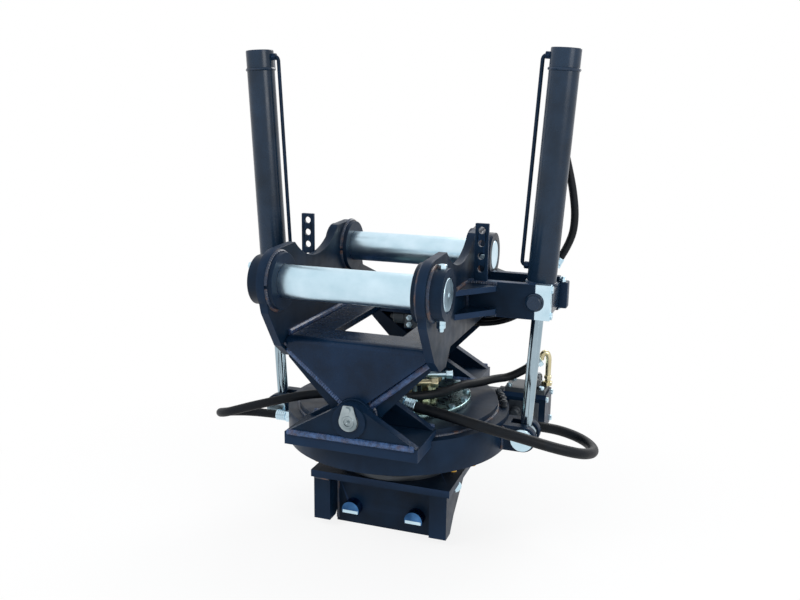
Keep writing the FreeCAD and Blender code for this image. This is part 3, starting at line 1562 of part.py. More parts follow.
def group(name, shapes, seats):
    """Several solids as one piece, trimmed flush with the pieces that they sit on."""
    thing = doc.addObject("Part::Feature", name)
    whole = shapes[0].multiFuse(shapes[1:]).removeSplitter()
    for seat in seats:
        whole = whole.cut(NODES[seat].Shape)
    thing.Shape = whole
    node(name, thing)
    return thing


def ferrule(points, radius, length):
    """A crimped ferrule that meets the first end of a route, and a nut behind it, away from the hose."""
    axis = points[0].sub(points[1])
    axis.normalize()
    sleeve = Part.makeCylinder(radius * number_of("ferrule_ratio"), length, points[0], axis)
    end = points[0] + axis * length
    nut_length = length * number_of("ferrule_nut_share")
    back = nut(end, axis, radius * number_of("ferrule_nut_ratio"), nut_length)
    return [sleeve, back], end + axis * nut_length


def elbow(points, radius, foot_way):
    """Round pipe runs with balls at their corners and a nut at the last point, along the foot's way."""
    shapes = []
    for start, end in zip(points, points[1:]):
        way = end.sub(start)
        shapes.append(Part.makeCylinder(radius, way.Length, start, way))
        if end is not points[-1]:
            shapes.append(Part.makeSphere(radius, end))
    shapes.append(nut(points[-1], foot_way, radius * number_of("elbow_nut_ratio"), radius))
    return shapes


def build_hoses(relief, knob):
    """Hoses with their ferrules and elbows, grouped with each body's other fittings."""
    doc.recompute()
    axis_z = number_of("tilt_axis_height")
    thick = number_of("thick_hose_radius")
    main = number_of("main_hose_radius")
    thin = number_of("thin_hose_radius")
    pipe = number_of("elbow_radius")
    up = Vector(0, 0, 1)
    back = Vector(0, 1, 0)

    def above(points):
        return [Vector(x, y, axis_z + z) for x, y, z in points]

    right_loop = above(RIGHT_LOOP)
    left_loop = above(LEFT_LOOP)
    hose("right_loop_hose", right_loop, thick)
    hose("left_loop_hose", left_loop, main)
    fittings = []
    long_ferrule = number_of("ferrule_length")
    pieces, right_start = ferrule(right_loop, thick, long_ferrule)
    fittings += pieces
    fittings += ferrule(right_loop[::-1], thick, long_ferrule)[0]
    pieces, left_start = ferrule(left_loop, main, long_ferrule)
    fittings += pieces
    fittings += ferrule(left_loop[::-1], main, long_ferrule)[0]
    fittings += elbow([right_start] + above(RIGHT_ELBOW), pipe, up)
    fittings += elbow([left_start] + above(LEFT_ELBOW), pipe, up)
    for points in SWIVEL_ELBOWS:
        fittings += elbow(above(points), pipe, up)
    fittings.append(relief.Shape)
    group("housing_fittings", fittings, ("rotor_housing",))

    ends = []
    short_ferrule = number_of("thin_ferrule_length")
    for tag, route, corner in (
        ("front", FRONT_THIN_HOSE, FRONT_THIN_ELBOW),
        ("rear", REAR_THIN_HOSE, REAR_THIN_ELBOW),
    ):
        points = above(route)
        hose(f"{tag}_thin_hose", points, thin)
        pieces, start = ferrule(points, thin, short_ferrule)
        ends += pieces
        ends += ferrule(points[::-1], thin, short_ferrule)[0]
        ends += elbow([start] + above(corner), thin * number_of("thin_elbow_ratio"), back)
    ends.append(knob.Shape)
    group("frame_fittings", ends, ("valve_block", "right_arm"))

    slim = number_of("cylinder_hose_radius")
    cap = number_of("cylinder_ferrule_length")
    points = above(CYLINDER_HOSE)
    hose("right_cylinder_hose", points, slim)
    top, top_start = ferrule(points, slim, cap)
    foot, foot_start = ferrule(points[::-1], slim, cap)
    top += elbow([top_start] + above(CYLINDER_HOSE_TOP), slim, back)
    foot += elbow([foot_start] + above(CYLINDER_HOSE_FOOT), slim, back)
    group("right_cylinder_fittings", top + foot, ("right_barrel",))


def check_and_write():
    """Stops on any failed object or shape, then writes every piece."""
    doc.recompute()
    for thing in doc.Objects:
        if "Invalid" in thing.State or "Error" in thing.State:
            raise RuntimeError(f"{thing.Label}: {thing.State}")
    for name, thing in NODES.items():
        if thing.Shape.isNull() or not thing.Shape.isValid() or not thing.Shape.Solids:
            raise RuntimeError(f"{name}: no valid solid")
    for name, thing in NODES.items():
        thing.Shape.exportStep(f"parts/{name}.step")


build_hitch()
build_rotor()
relief_valve = build_housing()
build_side_plates()
build_deck()
build_arms()
build_cylinders()
valve_knob = build_valve()
build_hoses(relief_valve, valve_knob)
check_and_write()
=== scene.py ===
"""Looks of the tiltrotator: its paint, plating, hoses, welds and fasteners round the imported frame."""
import math

import bmesh
import bpy
import numpy as np
from mathutils import Matrix


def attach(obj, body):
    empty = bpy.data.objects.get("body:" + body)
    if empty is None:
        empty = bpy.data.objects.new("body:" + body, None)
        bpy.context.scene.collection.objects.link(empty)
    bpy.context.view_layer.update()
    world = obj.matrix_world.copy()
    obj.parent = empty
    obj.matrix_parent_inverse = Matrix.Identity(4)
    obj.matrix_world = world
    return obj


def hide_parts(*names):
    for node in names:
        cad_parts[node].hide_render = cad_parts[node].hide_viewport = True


bl_info = {
    "name": "Tiltrotator looks",
    "version": (1, 0, 0),
    "blender": (4, 5, 0),
    "location": "View3D > Sidebar > Tiltrotator",
    "description": "Dresses the tiltrotator's frame with paint, plating, hoses, welds and fasteners",
    "category": "Object",
}

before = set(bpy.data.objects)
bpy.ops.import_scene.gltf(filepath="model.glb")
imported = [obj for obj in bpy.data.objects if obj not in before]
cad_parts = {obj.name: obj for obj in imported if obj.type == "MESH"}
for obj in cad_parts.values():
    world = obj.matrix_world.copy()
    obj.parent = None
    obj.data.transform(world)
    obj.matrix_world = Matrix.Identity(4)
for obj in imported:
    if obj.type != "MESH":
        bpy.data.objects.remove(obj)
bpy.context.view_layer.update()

MM = 0.001
# Height of the tilt axis above the floor, in metres and in millimetres.
TILT_Z = 0.322
AXIS = TILT_Z * 1000

# Coupling pins: y and the height above the tilt axis, in millimetres.
COUPLING_PINS = {"front": (-285, 262), "rear": (70, 280)}

# The right cylinder's trunnion, and how far both cylinders lean outward.
TRUNNION_X, TRUNNION_Z = 304.0, AXIS + 212
LEAN = math.atan2(17, 304)

# The motor's axis runs along x.
MOTOR_Y, MOTOR_Z = 169.6, AXIS - 88

# The camera solved from the photograph: azimuth, drop and roll in degrees, and its place in metres.
CAMERA_TURNS = (19.13, 12.56, -0.8)
CAMERA_PLACE = (0.6016, -1.7371, 0.5878 + TILT_Z)

# Area lamps: place, aim, size and watts.
LAMPS = {
    "key_lamp": ((-1.6, -2.2, 2.6), (0, 0, 0.4), 1.6, 50),
    "fill_lamp": ((2.4, -1.4, 1.6), (0, 0, 0.4), 1.4, 28),
    "rim_lamp": ((0.6, 2.4, 2.4), (0, 0, 0.5), 1.6, 45),
}
# Half the floor's width, in metres.
FLOOR_REACH = 6

# From these angles on an edge is bevelled on a CAD node, and sharp on a new piece.
BEVEL_ANGLE = math.radians(32)
SHARP_ANGLE = math.radians(20)
# Points closer than this are one point on a CAD node, and on a new piece.
NODE_MERGE, PIECE_MERGE = 0.01 * MM, 0.002 * MM

UP = (0, 0, 1)

# Which finish each CAD node shows. A node that isn't here is painted.
NODE_FINISH = {
    "lock_pins": "blued_chrome",
    "lock_yoke": "steel",
    "lock_cylinder": "steel",
    "worm_wheel": "cast",
    "rotor_bolts": "zinc",
    "brass_plugs": "brass",
    "rod_pins": "zinc",
    "tilt_pins": "steel",
    "pin_retainers": "zinc",
    "swivel_disc": "oiled_zinc",
    "deck_plate": "deck_enamel",
    "swivel_bolts": "zinc",
    "worm_shaft": "steel",
    "motor_cover": "cast",
    "front_coupling_pin": "zinc",
    "rear_coupling_pin": "zinc",
    "pin_lock_bolts": "zinc",
    "tilt_bushes": "brass",
    "front_trunnion_caps": "zinc",
    "cap_bolts": "zinc",
    "right_rod": "chrome",
    "left_rod": "chrome",
    "right_piston": "steel",
    "left_piston": "steel",
    "housing_fittings": "yellow_zinc",
    "frame_fittings": "zinc",
    "right_cylinder_fittings": "zinc",
}

# Routes of the hoses in millimetres, x and y from the turning axis and z from the tilt axis.
HOSES = {
    "right_loop_hose": {
        "body": "housing",
        "radius": 11,
        "points": (
            (84, -140, -9), (130, -140, -16), (190, -140, -27), (250, -138, -38), (310, -132, -50),
            (366, -118, -66), (414, -82, -86), (434, -30, -102), (430, 24, -112), (402, 68, -112),
            (356, 86, -106), (312, 85, -102), (270, 80, -100),
        ),
    },
    "left_loop_hose": {
        "body": "housing",
        "radius": 9.5,
        "points": (
            (256, 170, 6), (222, 160, -18), (184, 136, -20), (158, 92, -20), (136, 42, -11),
            (108, -18, -14), (66, -64, -14), (8, -90, -13), (-54, -104, -12), (-116, -118, -12),
            (-170, -136, -17), (-220, -164, -27), (-270, -190, -38), (-327, -196, -58),
            (-368, -157, -76), (-368, -102, -92), (-328, -62, -101), (-272, -60, -101),
        ),
    },
    "front_thin_hose": {
        "body": "tilt_frame",
        "radius": 6,
        "points": (
            (262, 84, 160), (236, 88, 142), (206, 92, 128), (174, 94, 120), (140, 95, 117),
            (106, 95, 116), (72, 95, 116),
        ),
    },
    "rear_thin_hose": {
        "body": "tilt_frame",
        "radius": 6,
        "points": (
            (262, 104, 164), (236, 108, 146), (206, 112, 132), (174, 114, 124), (140, 115, 121),
            (106, 115, 120), (72, 115, 120),
        ),
    },
    "right_cylinder_hose": {
        "body": "right_cylinder",
        "radius": 8,
        "points": (
            (326, 48, 527), (339, 54, 478), (352, 58, 424), (359, 60, 370), (353, 60, 322),
            (333, 56, 286),
        ),
    },
}


def linear(code):
    """A hex colour as linear red, green, blue and alpha: each channel by the sRGB curve."""
    parts = np.array([int(code[i:i + 2], 16) for i in (1, 3, 5)]) / 255
    low = parts / 12.92
    high = ((parts + 0.055) / 1.055) ** 2.4
    return (*np.where(parts <= 0.04045, low, high), 1.0)


def join(tree, node, **outputs):
    """Joins a node's sockets to other nodes' outputs, each by its name with _ for a space or by an i
    and its number."""
    for key, output in outputs.items():
        socket = int(key[1:]) if key[1:].isdigit() else key.replace("_", " ")
        tree.links.new(output, node.inputs[socket])


def add(tree, kind, settings=(), **outputs):
    """Adds a shader node, sets its values and joins its sockets."""
    node = tree.nodes.new(kind)
    for key, value in dict(settings).items():
        if hasattr(node, key):
            setattr(node, key, value)
        else:
            node.inputs[key].default_value = value
    join(tree, node, **outputs)
    return node


def ramp(tree, factor, stops):
    """A colour ramp from a factor, with stops of place and hex colour."""
    node = add(tree, "ShaderNodeValToRGB", Fac=factor)
    elements = node.color_ramp.elements
    while len(elements) < len(stops):
        elements.new(0.5)
    for element, (place, code) in zip(elements, stops):
        element.position = place
        element.color = linear(code)
    return node.outputs["Color"]


def start_material(name):
    """A new material's tree, its shader and its Object coordinates."""
    material = bpy.data.materials.new(name)
    material.use_nodes = True
    tree = material.node_tree
    shader = tree.nodes["Principled BSDF"]
    place = add(tree, "ShaderNodeTexCoord").outputs["Object"]
    return material, tree, shader, place


def noise(tree, place, size_mm, detail=3.0):
    """Fractal noise whose patches are about size_mm across."""
    settings = {"Scale": 1 / (size_mm * MM), "Detail": detail}
    return add(tree, "ShaderNodeTexNoise", settings, Vector=place).outputs["Fac"]


def spread(tree, factor, low, high, start=0.3, end=0.7):
    """Maps a factor's middle range to a range of numbers."""
    node = add(
        tree,
        "ShaderNodeMapRange",
        {"From Min": start, "From Max": end, "To Min": low, "To Max": high},
        Value=factor,
    )
    return node.outputs["Result"]


def bump(tree, height, strength, depth_mm):
    """A bump from a height, its depth in millimetres."""
    node = add(
        tree, "ShaderNodeBump", {"Strength": strength, "Distance": depth_mm * MM}, Height=height
    )
    return node.outputs["Normal"]


def enamel(name, dark, light, edge_highlight, rough_low, rough_high, sheen):
    """Sprayed enamel: slight orange peel, patches in tone, and a lighter blue at sharp edges that is a
    painted highlight.
    """
    material, tree, shader, place = start_material(name)
    colour = ramp(tree, noise(tree, place, 55), ((0.3, dark), (0.7, light)))
    # Sharp edges, found by their pointiness, are mixed toward the lighter blue: a painted highlight.
    pointed = add(tree, "ShaderNodeNewGeometry").outputs["Pointiness"]
    edge = spread(tree, pointed, 0.0, 0.75, 0.53, 0.66)
    mixed = add(tree, "ShaderNodeMix", {"data_type": "RGBA"}, i0=edge, i6=colour)
    mixed.inputs[7].default_value = linear(edge_highlight)
    rough = spread(tree, noise(tree, place, 24), rough_low, rough_high)
    peel = bump(tree, noise(tree, place, 2.2, 1.0), 0.12, 0.25)
    join(tree, shader, Base_Color=mixed.outputs[2], Roughness=rough, Normal=peel)
    shader.inputs["Specular IOR Level"].default_value = sheen
    return material


def weld_paint(name, dark, light, rust_share):
    """The enamel over weld beads, in colours given lighter and bluer than the plates' enamel as a painted
    highlight: ripples every 3 mm catch the light, and rusty heat tints show through where the coat is sparse,
    in patches about 25 mm long."""
    material, tree, shader, place = start_material(name)
    coat = ramp(tree, noise(tree, place, 9), ((0.35, dark), (0.65, light)))
    patches = noise(tree, place, 25, 2.0)
    rust = ramp(tree, patches, ((0.5, light), (0.6, "#5c4236")))
    share = spread(tree, patches, 0.0, rust_share, 0.5, 0.62)
    mixed = add(tree, "ShaderNodeMix", {"data_type": "RGBA"}, i0=share, i6=coat, i7=rust)
    ripples = bump(tree, noise(tree, place, 3, 1.0), 0.6, 0.6)
    join(tree, shader, Base_Color=mixed.outputs[2], Normal=ripples)
    shader.inputs["Roughness"].default_value = 0.3
    return material


def cast_iron():
    """Dark painted casting: coarser grain than the enamel on plate."""
    material, tree, shader, place = start_material("painted_casting")
    patches = noise(tree, place, 30)
    colour = ramp(tree, patches, ((0.3, "#2b3138"), (0.7, "#3d444b")))
    grain = bump(tree, noise(tree, place, 1.2), 0.4, 0.3)
    join(tree, shader, Base_Color=colour, Roughness=spread(tree, patches, 0.4, 0.55), Normal=grain)
    return material


def plated(name, light, dark, rough_low, rough_high, grain=0.15):
    """Plated or turned metal: slow clouds in tone and a fine grain whose strength is given."""
    material, tree, shader, place = start_material(name)
    colour = ramp(tree, noise(tree, place, 40), ((0.3, dark), (0.7, light)))
    rough = spread(tree, noise(tree, place, 15), rough_low, rough_high)
    join(tree, shader, Base_Color=colour, Roughness=rough)
    if grain:
        join(tree, shader, Normal=bump(tree, noise(tree, place, 0.7, 2.0), grain, 0.08))
    shader.inputs["Metallic"].default_value = 1.0
    return material


def hose_rubber():
    """Extruded hose cover: black rubber with a faint wrapped-cloth texture and a grey bloom."""
    material, tree, shader, place = start_material("hose_cover_rubber")
    bloom = noise(tree, place, 20)
    colour = ramp(tree, bloom, ((0.3, "#0a0e13"), (0.75, "#12181f")))
    cloth = add(tree, "ShaderNodeTexVoronoi", {"Scale": 1 / (1.6 * MM)}, Vector=place)
    weave = bump(tree, cloth.outputs["Distance"], 0.2, 0.12)
    join(tree, shader, Base_Color=colour, Roughness=spread(tree, bloom, 0.42, 0.58), Normal=weave)
    shader.inputs["Specular IOR Level"].default_value = 0.18
    return material


# What makes each finish, by its key in NODE_FINISH.
FINISH_MAKERS = {
    # Navy-black satin enamel on the plates.
    "enamel": lambda: enamel("navy_enamel", "#081828", "#0e2338", "#2a4468", 0.32, 0.44, 0.12),
    # The same enamel on the folded deck plate, where it lies smoother.
    "deck_enamel": lambda: enamel("navy_enamel_on_deck", "#071a2e", "#0d2742", "#2a4468", 0.22, 0.32, 0.19),
    # The same enamel on the honed tubes, smoother and glossier.
    "tube_enamel": lambda: enamel("navy_enamel_on_tube", "#0f2030", "#192e43", "#2c3f5c", 0.2, 0.3, 0.32),
    # The enamel over weld beads, in a lighter blue than the plates: a painted highlight, with rust patches.
    "weld_highlight_enamel": lambda: weld_paint("enamel_on_rusty_welds_painted_highlight", "#111e30", "#20314a", 0.7),
    # The same over the clean wide beads, in a lighter blue still where they catch the sky: a painted
    # highlight.
    "wide_weld_highlight_enamel": lambda: weld_paint("enamel_on_wide_welds_painted_highlight", "#1b3050", "#3a5884", 0.3),
    "cast": cast_iron,
    # Blue-passivated zinc: pale, slightly blue, softly cloudy.
    "zinc": lambda: plated("blue_zinc_plating", "#d6eefb", "#c2dfed", 0.28, 0.36, 0.1),
    # Zinc that has weathered to a patchy grey.
    "dull_zinc": lambda: plated("weathered_zinc_plating", "#c6d2d6", "#7d8b91", 0.3, 0.45, 0.3),
    # Blued hard chrome, deep and clear.
    "blued_chrome": lambda: plated("blued_hard_chrome", "#4f7fb4", "#1c3a5e", 0.1, 0.2, 0),
    # Zinc under a film of oil, gone green-grey on the swivel.
    "oiled_zinc": lambda: plated("oiled_zinc_plating", "#b4d2d3", "#789b9e", 0.2, 0.34, 0.3),
    # Yellow-passivated zinc: gold with a faint green cast.
    "yellow_zinc": lambda: plated("yellow_zinc_plating", "#ded6b6", "#c2b78e", 0.24, 0.34),
    # Hard chrome, ground and polished: nearly a mirror.
    "chrome": lambda: plated("hard_chrome", "#a3b6c0", "#94a8b3", 0.12, 0.16, 0),
    # Turned brass, dull from handling.
    "brass": lambda: plated("turned_brass", "#c9a24a", "#9c7a34", 0.25, 0.4),
    # Bright machined steel with an oil film.
    "steel": lambda: plated("machined_steel", "#8e9296", "#6c7074", 0.28, 0.42),
    "rubber": hose_rubber,
}
MATERIALS = {}


def finish_of(key):
    """The material of a finish, made once."""
    if key not in MATERIALS:
        MATERIALS[key] = FINISH_MAKERS[key]()
    return MATERIALS[key]


def dress(obj, key, body):
    """Gives a new piece its material and the body that it moves with."""
    obj.data.materials.clear()
    obj.data.materials.append(finish_of(key))
    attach(obj, body)
    return obj


class TiltrotatorSizes(bpy.types.PropertyGroup):
    """Sizes that a user would change."""

    edge_round: bpy.props.FloatProperty(
        name="Edge rounding",
        description="Rounding of the painted plates' edges",
        default=0.0012,
        subtype="DISTANCE",
        unit="LENGTH",
    )
    lens: bpy.props.FloatProperty(
        name="Lens", description="Focal length on a 36 mm sensor", default=38.87, unit="CAMERA"
    )


class TILTROTATOR_OT_stage(bpy.types.Operator):
    """Camera at the photograph's viewing angle, pale floor, white surroundings and soft lamps"""

    bl_idname = "tiltrotator.stage"
    bl_label = "Stage"

    def execute(self, context):
        scene = context.scene
        azimuth, drop, roll = (math.radians(turn) for turn in CAMERA_TURNS)
        ahead = np.array(
            [-math.sin(azimuth) * math.cos(drop), math.cos(azimuth) * math.cos(drop), -math.sin(drop)]
        )
        level = np.array([math.cos(azimuth), math.sin(azimuth), 0.0])
        down = np.cross(ahead, level)
        right = math.cos(roll) * level + math.sin(roll) * down
        down = np.cross(ahead, right)
        data = bpy.data.cameras.new("photograph_camera")
        data.lens = scene.tiltrotator_sizes.lens
        data.sensor_width = 36.0
        data.clip_end = 50
        camera = linked("photograph_camera", data)
        camera.matrix_world = matrix_of(right, -down, -ahead, CAMERA_PLACE)
        scene.camera = camera

        mesh = bpy.data.meshes.new("floor")
        corners = [(x * FLOOR_REACH, y * FLOOR_REACH, 0) for x, y in ((-1, -1), (1, -1), (1, 1), (-1, 1))]
        mesh.from_pydata(corners, [], [(0, 1, 2, 3)])
        floor = linked("floor", mesh)
        floor.data.materials.append(floor_material())
        light_world(scene)
        for name, (place, aim, size, watts) in LAMPS.items():
            lamp = bpy.data.lights.new(name, "AREA")
            lamp.size = size
            lamp.energy = watts
            holder = linked(name, lamp)
            first, second, back = axes_of(np.subtract(place, aim))
            holder.matrix_world = matrix_of(first, second, back, place)
            # The white surroundings already show in the metal.
            holder.visible_glossy = name != "key_lamp"
        return {"FINISHED"}


def linked(name, data):
    """A new object with the data, in the scene."""
    obj = bpy.data.objects.new(name, data)
    bpy.context.scene.collection.objects.link(obj)
    return obj


def matrix_of(first, second, third, place):
    """The matrix with these three axes at a place."""
    turn = np.eye(4)
    turn[:3] = np.stack([first, second, third, place], axis=1)
    return Matrix(turn.tolist())


def ray_share(tree, *kinds):
    """One for rays of the named kinds: the greatest of the light path's outputs for them."""
    seen = add(tree, "ShaderNodeLightPath").outputs
    share = seen[kinds[0]]
    for kind in kinds[1:]:
        share = add(tree, "ShaderNodeMath", {"operation": "MAXIMUM"}, i0=share, i1=seen[kind]).outputs[0]
    return share


def floor_material():
    """Pale floor that is plain white to the camera where no shadow falls."""
    material, tree, shader, place = start_material("pale_floor")
    shader.inputs["Base Color"].default_value = linear("#fafafa")
    shader.inputs["Roughness"].default_value = 0.9
    shader.inputs["Specular IOR Level"].default_value = 0.1
    glow = add(tree, "ShaderNodeEmission", {"Color": (1, 1, 1, 1), "Strength": 1.0})
    # Farther from the object the floor turns into the white surroundings.
    far = add(tree, "ShaderNodeVectorMath", {"operation": "LENGTH"}, i0=place).outputs["Value"]
    level = spread(tree, far, 0.84, 1.0, 0.4, 1.1)
    seen = ray_share(tree, "Is Camera Ray", "Is Glossy Ray")
    share = add(tree, "ShaderNodeMath", {"operation": "MULTIPLY"}, i0=seen, i1=level)
    mix = add(tree, "ShaderNodeMixShader", i0=share.outputs[0], i1=shader.outputs[0], i2=glow.outputs[0])
    join(tree, tree.nodes["Material Output"], Surface=mix.outputs[0])
    return material


def light_world(scene):
    """World that lights softly and is white to camera, glossy and transmission rays."""
    world = bpy.data.worlds.new("studio_surroundings")
    world.use_nodes = True
    tree = world.node_tree
    tree.nodes.clear()
    seen = ray_share(tree, "Is Camera Ray", "Is Glossy Ray", "Is Transmission Ray")
    soft = add(tree, "ShaderNodeBackground", {"Color": linear("#eef2f6"), "Strength": 0.55})
    white = add(tree, "ShaderNodeBackground", {"Color": (1, 1, 1, 1), "Strength": 1.0})
    mix = add(tree, "ShaderNodeMixShader", i0=seen, i1=soft.outputs[0], i2=white.outputs[0])
    add(tree, "ShaderNodeOutputWorld", Surface=mix.outputs[0])
    scene.world = world
    scene.view_settings.view_transform = "Standard"


def axes_of(way):
    """Three unit vectors, the third along a way."""
    third = np.asarray(way, float) / np.linalg.norm(way)
    guess = np.array([0.0, 0.0, 1.0]) if abs(third[2]) < 0.9 else np.array([1.0, 0.0, 0.0])
    first = np.cross(guess, third)
    first /= np.linalg.norm(first)
    return first, np.cross(third, first), third


def circle(sides, first, second):
    """Unit vectors all round: the cosine of each angle times a first, plus its sine times a second."""
    angle = np.linspace(0, 2 * math.pi, sides, endpoint=False)[:, None]
    return np.cos(angle) * first + np.sin(angle) * second


def lathe_points(profile, start, way, sides=48):
    """Points of a turned form: each profile pair of radius and height is carried round the axis that
    runs from a start along a way."""
    profile = np.asarray(profile, float)[..., None, None] * MM
    first, second, third = axes_of(way)
    across = profile[:, 0] * circle(sides, first, second)
    return np.asarray(start, float) * MM + across + profile[:, 1] * third


def hexagonal(angle):
    """How far a hexagon of corner radius one reaches at each angle: its flat's distance over the
    cosine of the angle from the flat's middle."""
    step = math.pi / 3
    off = (angle % step) - step / 2
    return math.cos(step / 2) / np.cos(off)


def bolt_points(start, way, corner, height):
    """A hexagon head with its chamfer: at each height the lesser of the hexagon and a cone."""
    sides = 36
    hexagon = hexagonal(np.linspace(0, 2 * math.pi, sides, endpoint=False)) * corner
    flat = corner * math.cos(math.pi / 6)
    heights = (0.0, 0.0, 0.86 * height, 0.93 * height, height, height)
    cones = (0.0, corner, corner, corner * 0.97, flat * 0.92, 0.0)
    first, second, third = axes_of(way)
    ring = circle(sides, first, second)
    rows = [np.minimum(hexagon, cone)[:, None] * ring + rise * third for rise, cone in zip(heights, cones)]
    return (np.array(rows) + np.asarray(start, float)) * MM


def grids_piece(name, grids):
    """One closed mesh from several grids, each wrapped round its second direction: points that meet are
    merged and all faces turned outward."""
    points = []
    faces = []
    count = 0
    for grid in grids:
        rows, columns = grid.shape[:2]
        uu, vv = np.meshgrid(np.arange(rows - 1), np.arange(columns), indexing="ij")
        here, after = uu * columns + vv, uu * columns + (vv + 1) % columns
        cells = np.stack([here, after, after + columns, here + columns], axis=-1)
        points.append(grid.reshape(-1, 3))
        faces.append(cells.reshape(-1, 4) + count)
        count += rows * columns
    mesh = bpy.data.meshes.new(name)
    mesh.from_pydata(np.vstack(points).tolist(), [], np.vstack(faces).tolist())
    mesh.validate()
    work = bmesh.new()
    work.from_mesh(mesh)
    bmesh.ops.remove_doubles(work, verts=work.verts, dist=PIECE_MERGE)
    bmesh.ops.dissolve_degenerate(work, edges=work.edges, dist=PIECE_MERGE / 2)
    bmesh.ops.recalc_face_normals(work, faces=work.faces)
    work.to_mesh(mesh)
    work.free()
    mesh.polygons.foreach_set("use_smooth", np.full(len(mesh.polygons), True))
    mesh.set_sharp_from_angle(angle=SHARP_ANGLE)
    return linked(name, mesh)


def add_piece(name, grids, finish, body, *nodes):
    """One piece of several forms on a body, in the place of the CAD nodes that are named."""
    piece = dress(grids_piece(name, grids), finish, body)
    if nodes:
        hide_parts(*nodes)
    return piece


def tube_points(path, radius, sides=24):
    """A round tube along a path in millimetres: rings square to the path, its frame turned from ring
    to ring without twist. The radius is one number or one for each point."""
    path = np.asarray(path, float)
    radius = np.broadcast_to(np.asarray(radius, float), len(path))
    ways = np.gradient(path, axis=0)
    ways /= np.linalg.norm(ways, axis=1)[:, None]
    first = axes_of(ways[0])[0]
    firsts = []
    for way in ways:
        first = first - way * first.dot(way)
        first /= np.linalg.norm(first)
        firsts.append(first)
    seconds = np.cross(ways, firsts)
    # A ring of no radius closes each end.
    radius = np.pad(radius, 1)
    path, firsts, seconds = (np.pad(rows, ((1, 1), (0, 0)), "edge") for rows in (path, firsts, seconds))
    ring = circle(sides, firsts[:, None], seconds[:, None])
    return (path[:, None] + radius[:, None, None] * ring) * MM


def rounded_path(points, radius, steps):
    """Points of straight runs whose corners are arcs: each corner is a parabola between the two
    points a radius before and after it."""
    points = np.asarray(points, float)
    path = [points[0]]
    t = np.linspace(0, 1, steps)[:, None]
    for before, corner, after in zip(points, points[1:], points[2:]):
        back = before - corner
        onward = after - corner
        reach = min(radius, np.linalg.norm(back) * 0.49, np.linalg.norm(onward) * 0.49)
        start = corner + back / np.linalg.norm(back) * reach
        end = corner + onward / np.linalg.norm(onward) * reach
        path.extend((1 - t) ** 2 * start + 2 * t * (1 - t) * corner + t**2 * end)
    path.append(points[-1])
    return np.array(path)


def weld_points(path, size):
    """A fillet weld: a bead along a path whose radius grows with each ripple of the arc, from 0.93 to
    1.07 of its size, and falls back at the ripple's end."""
    pitch, steps = 5.0, 5
    path = np.asarray(path, float)
    runs = np.linalg.norm(np.diff(path, axis=0), axis=1)
    along = np.concatenate([[0], np.cumsum(runs)])
    count = max(int(along[-1] / pitch * steps), 6)
    at = np.linspace(0, along[-1], count)
    fine = np.stack([np.interp(at, along, path[:, i]) for i in range(3)], axis=1)
    swell = size * (0.93 + 0.14 * ((at / pitch) % 1.0))
    swell[0] = swell[-1] = size * 0.6
    return tube_points(fine, swell, 10)


def raised(points):
    """Points given from the tilt axis, as a float array from the floor."""
    return np.asarray(points, float) + (0, 0, AXIS)


class TILTROTATOR_OT_finishes(bpy.types.Operator):
    """Gives every CAD node its finish and rounds its edges"""

    bl_idname = "tiltrotator.finishes"
    bl_label = "Finishes"

    def execute(self, context):
        for name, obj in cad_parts.items():
            key = "rubber" if name in HOSES else NODE_FINISH.get(name, "enamel")
            obj.data.materials.clear()
            obj.data.materials.append(finish_of(key))
            if name in HOSES:
                continue
            weld = obj.modifiers.new("merge", "WELD")
            weld.merge_threshold = NODE_MERGE
            edge = obj.modifiers.new("edges", "BEVEL")
            edge.limit_method = "ANGLE"
            edge.angle_limit = BEVEL_ANGLE
            edge.width = context.scene.tiltrotator_sizes.edge_round
            edge.segments = 2
        return {"FINISHED"}


# Length of the crimped ferrules on a body's hoses, in millimetres, and the CAD node that they replace.
SLEEVES = {
    "housing": (24, "housing_fittings"),
    "tilt_frame": (18, "frame_fittings"),
    "right_cylinder": (14, "right_cylinder_fittings"),
}
# The nut behind a ferrule, as a part of the ferrule's length.
NUT_SHARE = 0.45


class TILTROTATOR_OT_hoses(bpy.types.Operator):
    """Hoses as smooth splines with crimped ferrules, each in the place of its CAD tube"""

    bl_idname = "tiltrotator.hoses"
    bl_label = "Hoses"

    def execute(self, context):
        for name, facts in HOSES.items():
            body, radius = facts["body"], facts["radius"]
            run = raised(facts["points"])
            points = run * MM
            curve = bpy.data.curves.new(f"{name}_look", "CURVE")
            curve.dimensions = "3D"
            spline = curve.splines.new("NURBS")
            spline.points.add(len(points) - 1)
            spline.points.foreach_set("co", np.hstack([points, np.ones((len(points), 1))]).ravel())
            spline.order_u = 3
            spline.use_endpoint_u = True
            spline.resolution_u = 10
            curve.bevel_depth = radius * MM
            curve.bevel_resolution = 8
            curve.use_fill_caps = True
            obj = dress(linked(f"{name}_look", curve), "rubber", body)
            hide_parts(name)
            sleeve, node = SLEEVES[body]
            grids = ferrule_grids(run, radius, sleeve) + ferrule_grids(run[::-1], radius, sleeve)
            ferrules = add_piece(f"{name}_ferrules", grids, "zinc", body, node)
        return {"FINISHED"}


def end_of(points):
    """The first point of a route and the unit vector that leads out of it."""
    start, following = np.asarray(points[:2], float)
    way = start - following
    return start, way / np.linalg.norm(way)


def nut_end(name, order=1):
    """Where the nut behind a hose's ferrule ends, at the near end or, with order -1, at the far one."""
    start, way = end_of(raised(HOSES[name]["points"])[::order])
    return start + way * SLEEVES[HOSES[name]["body"]][0] * (1 + NUT_SHARE)


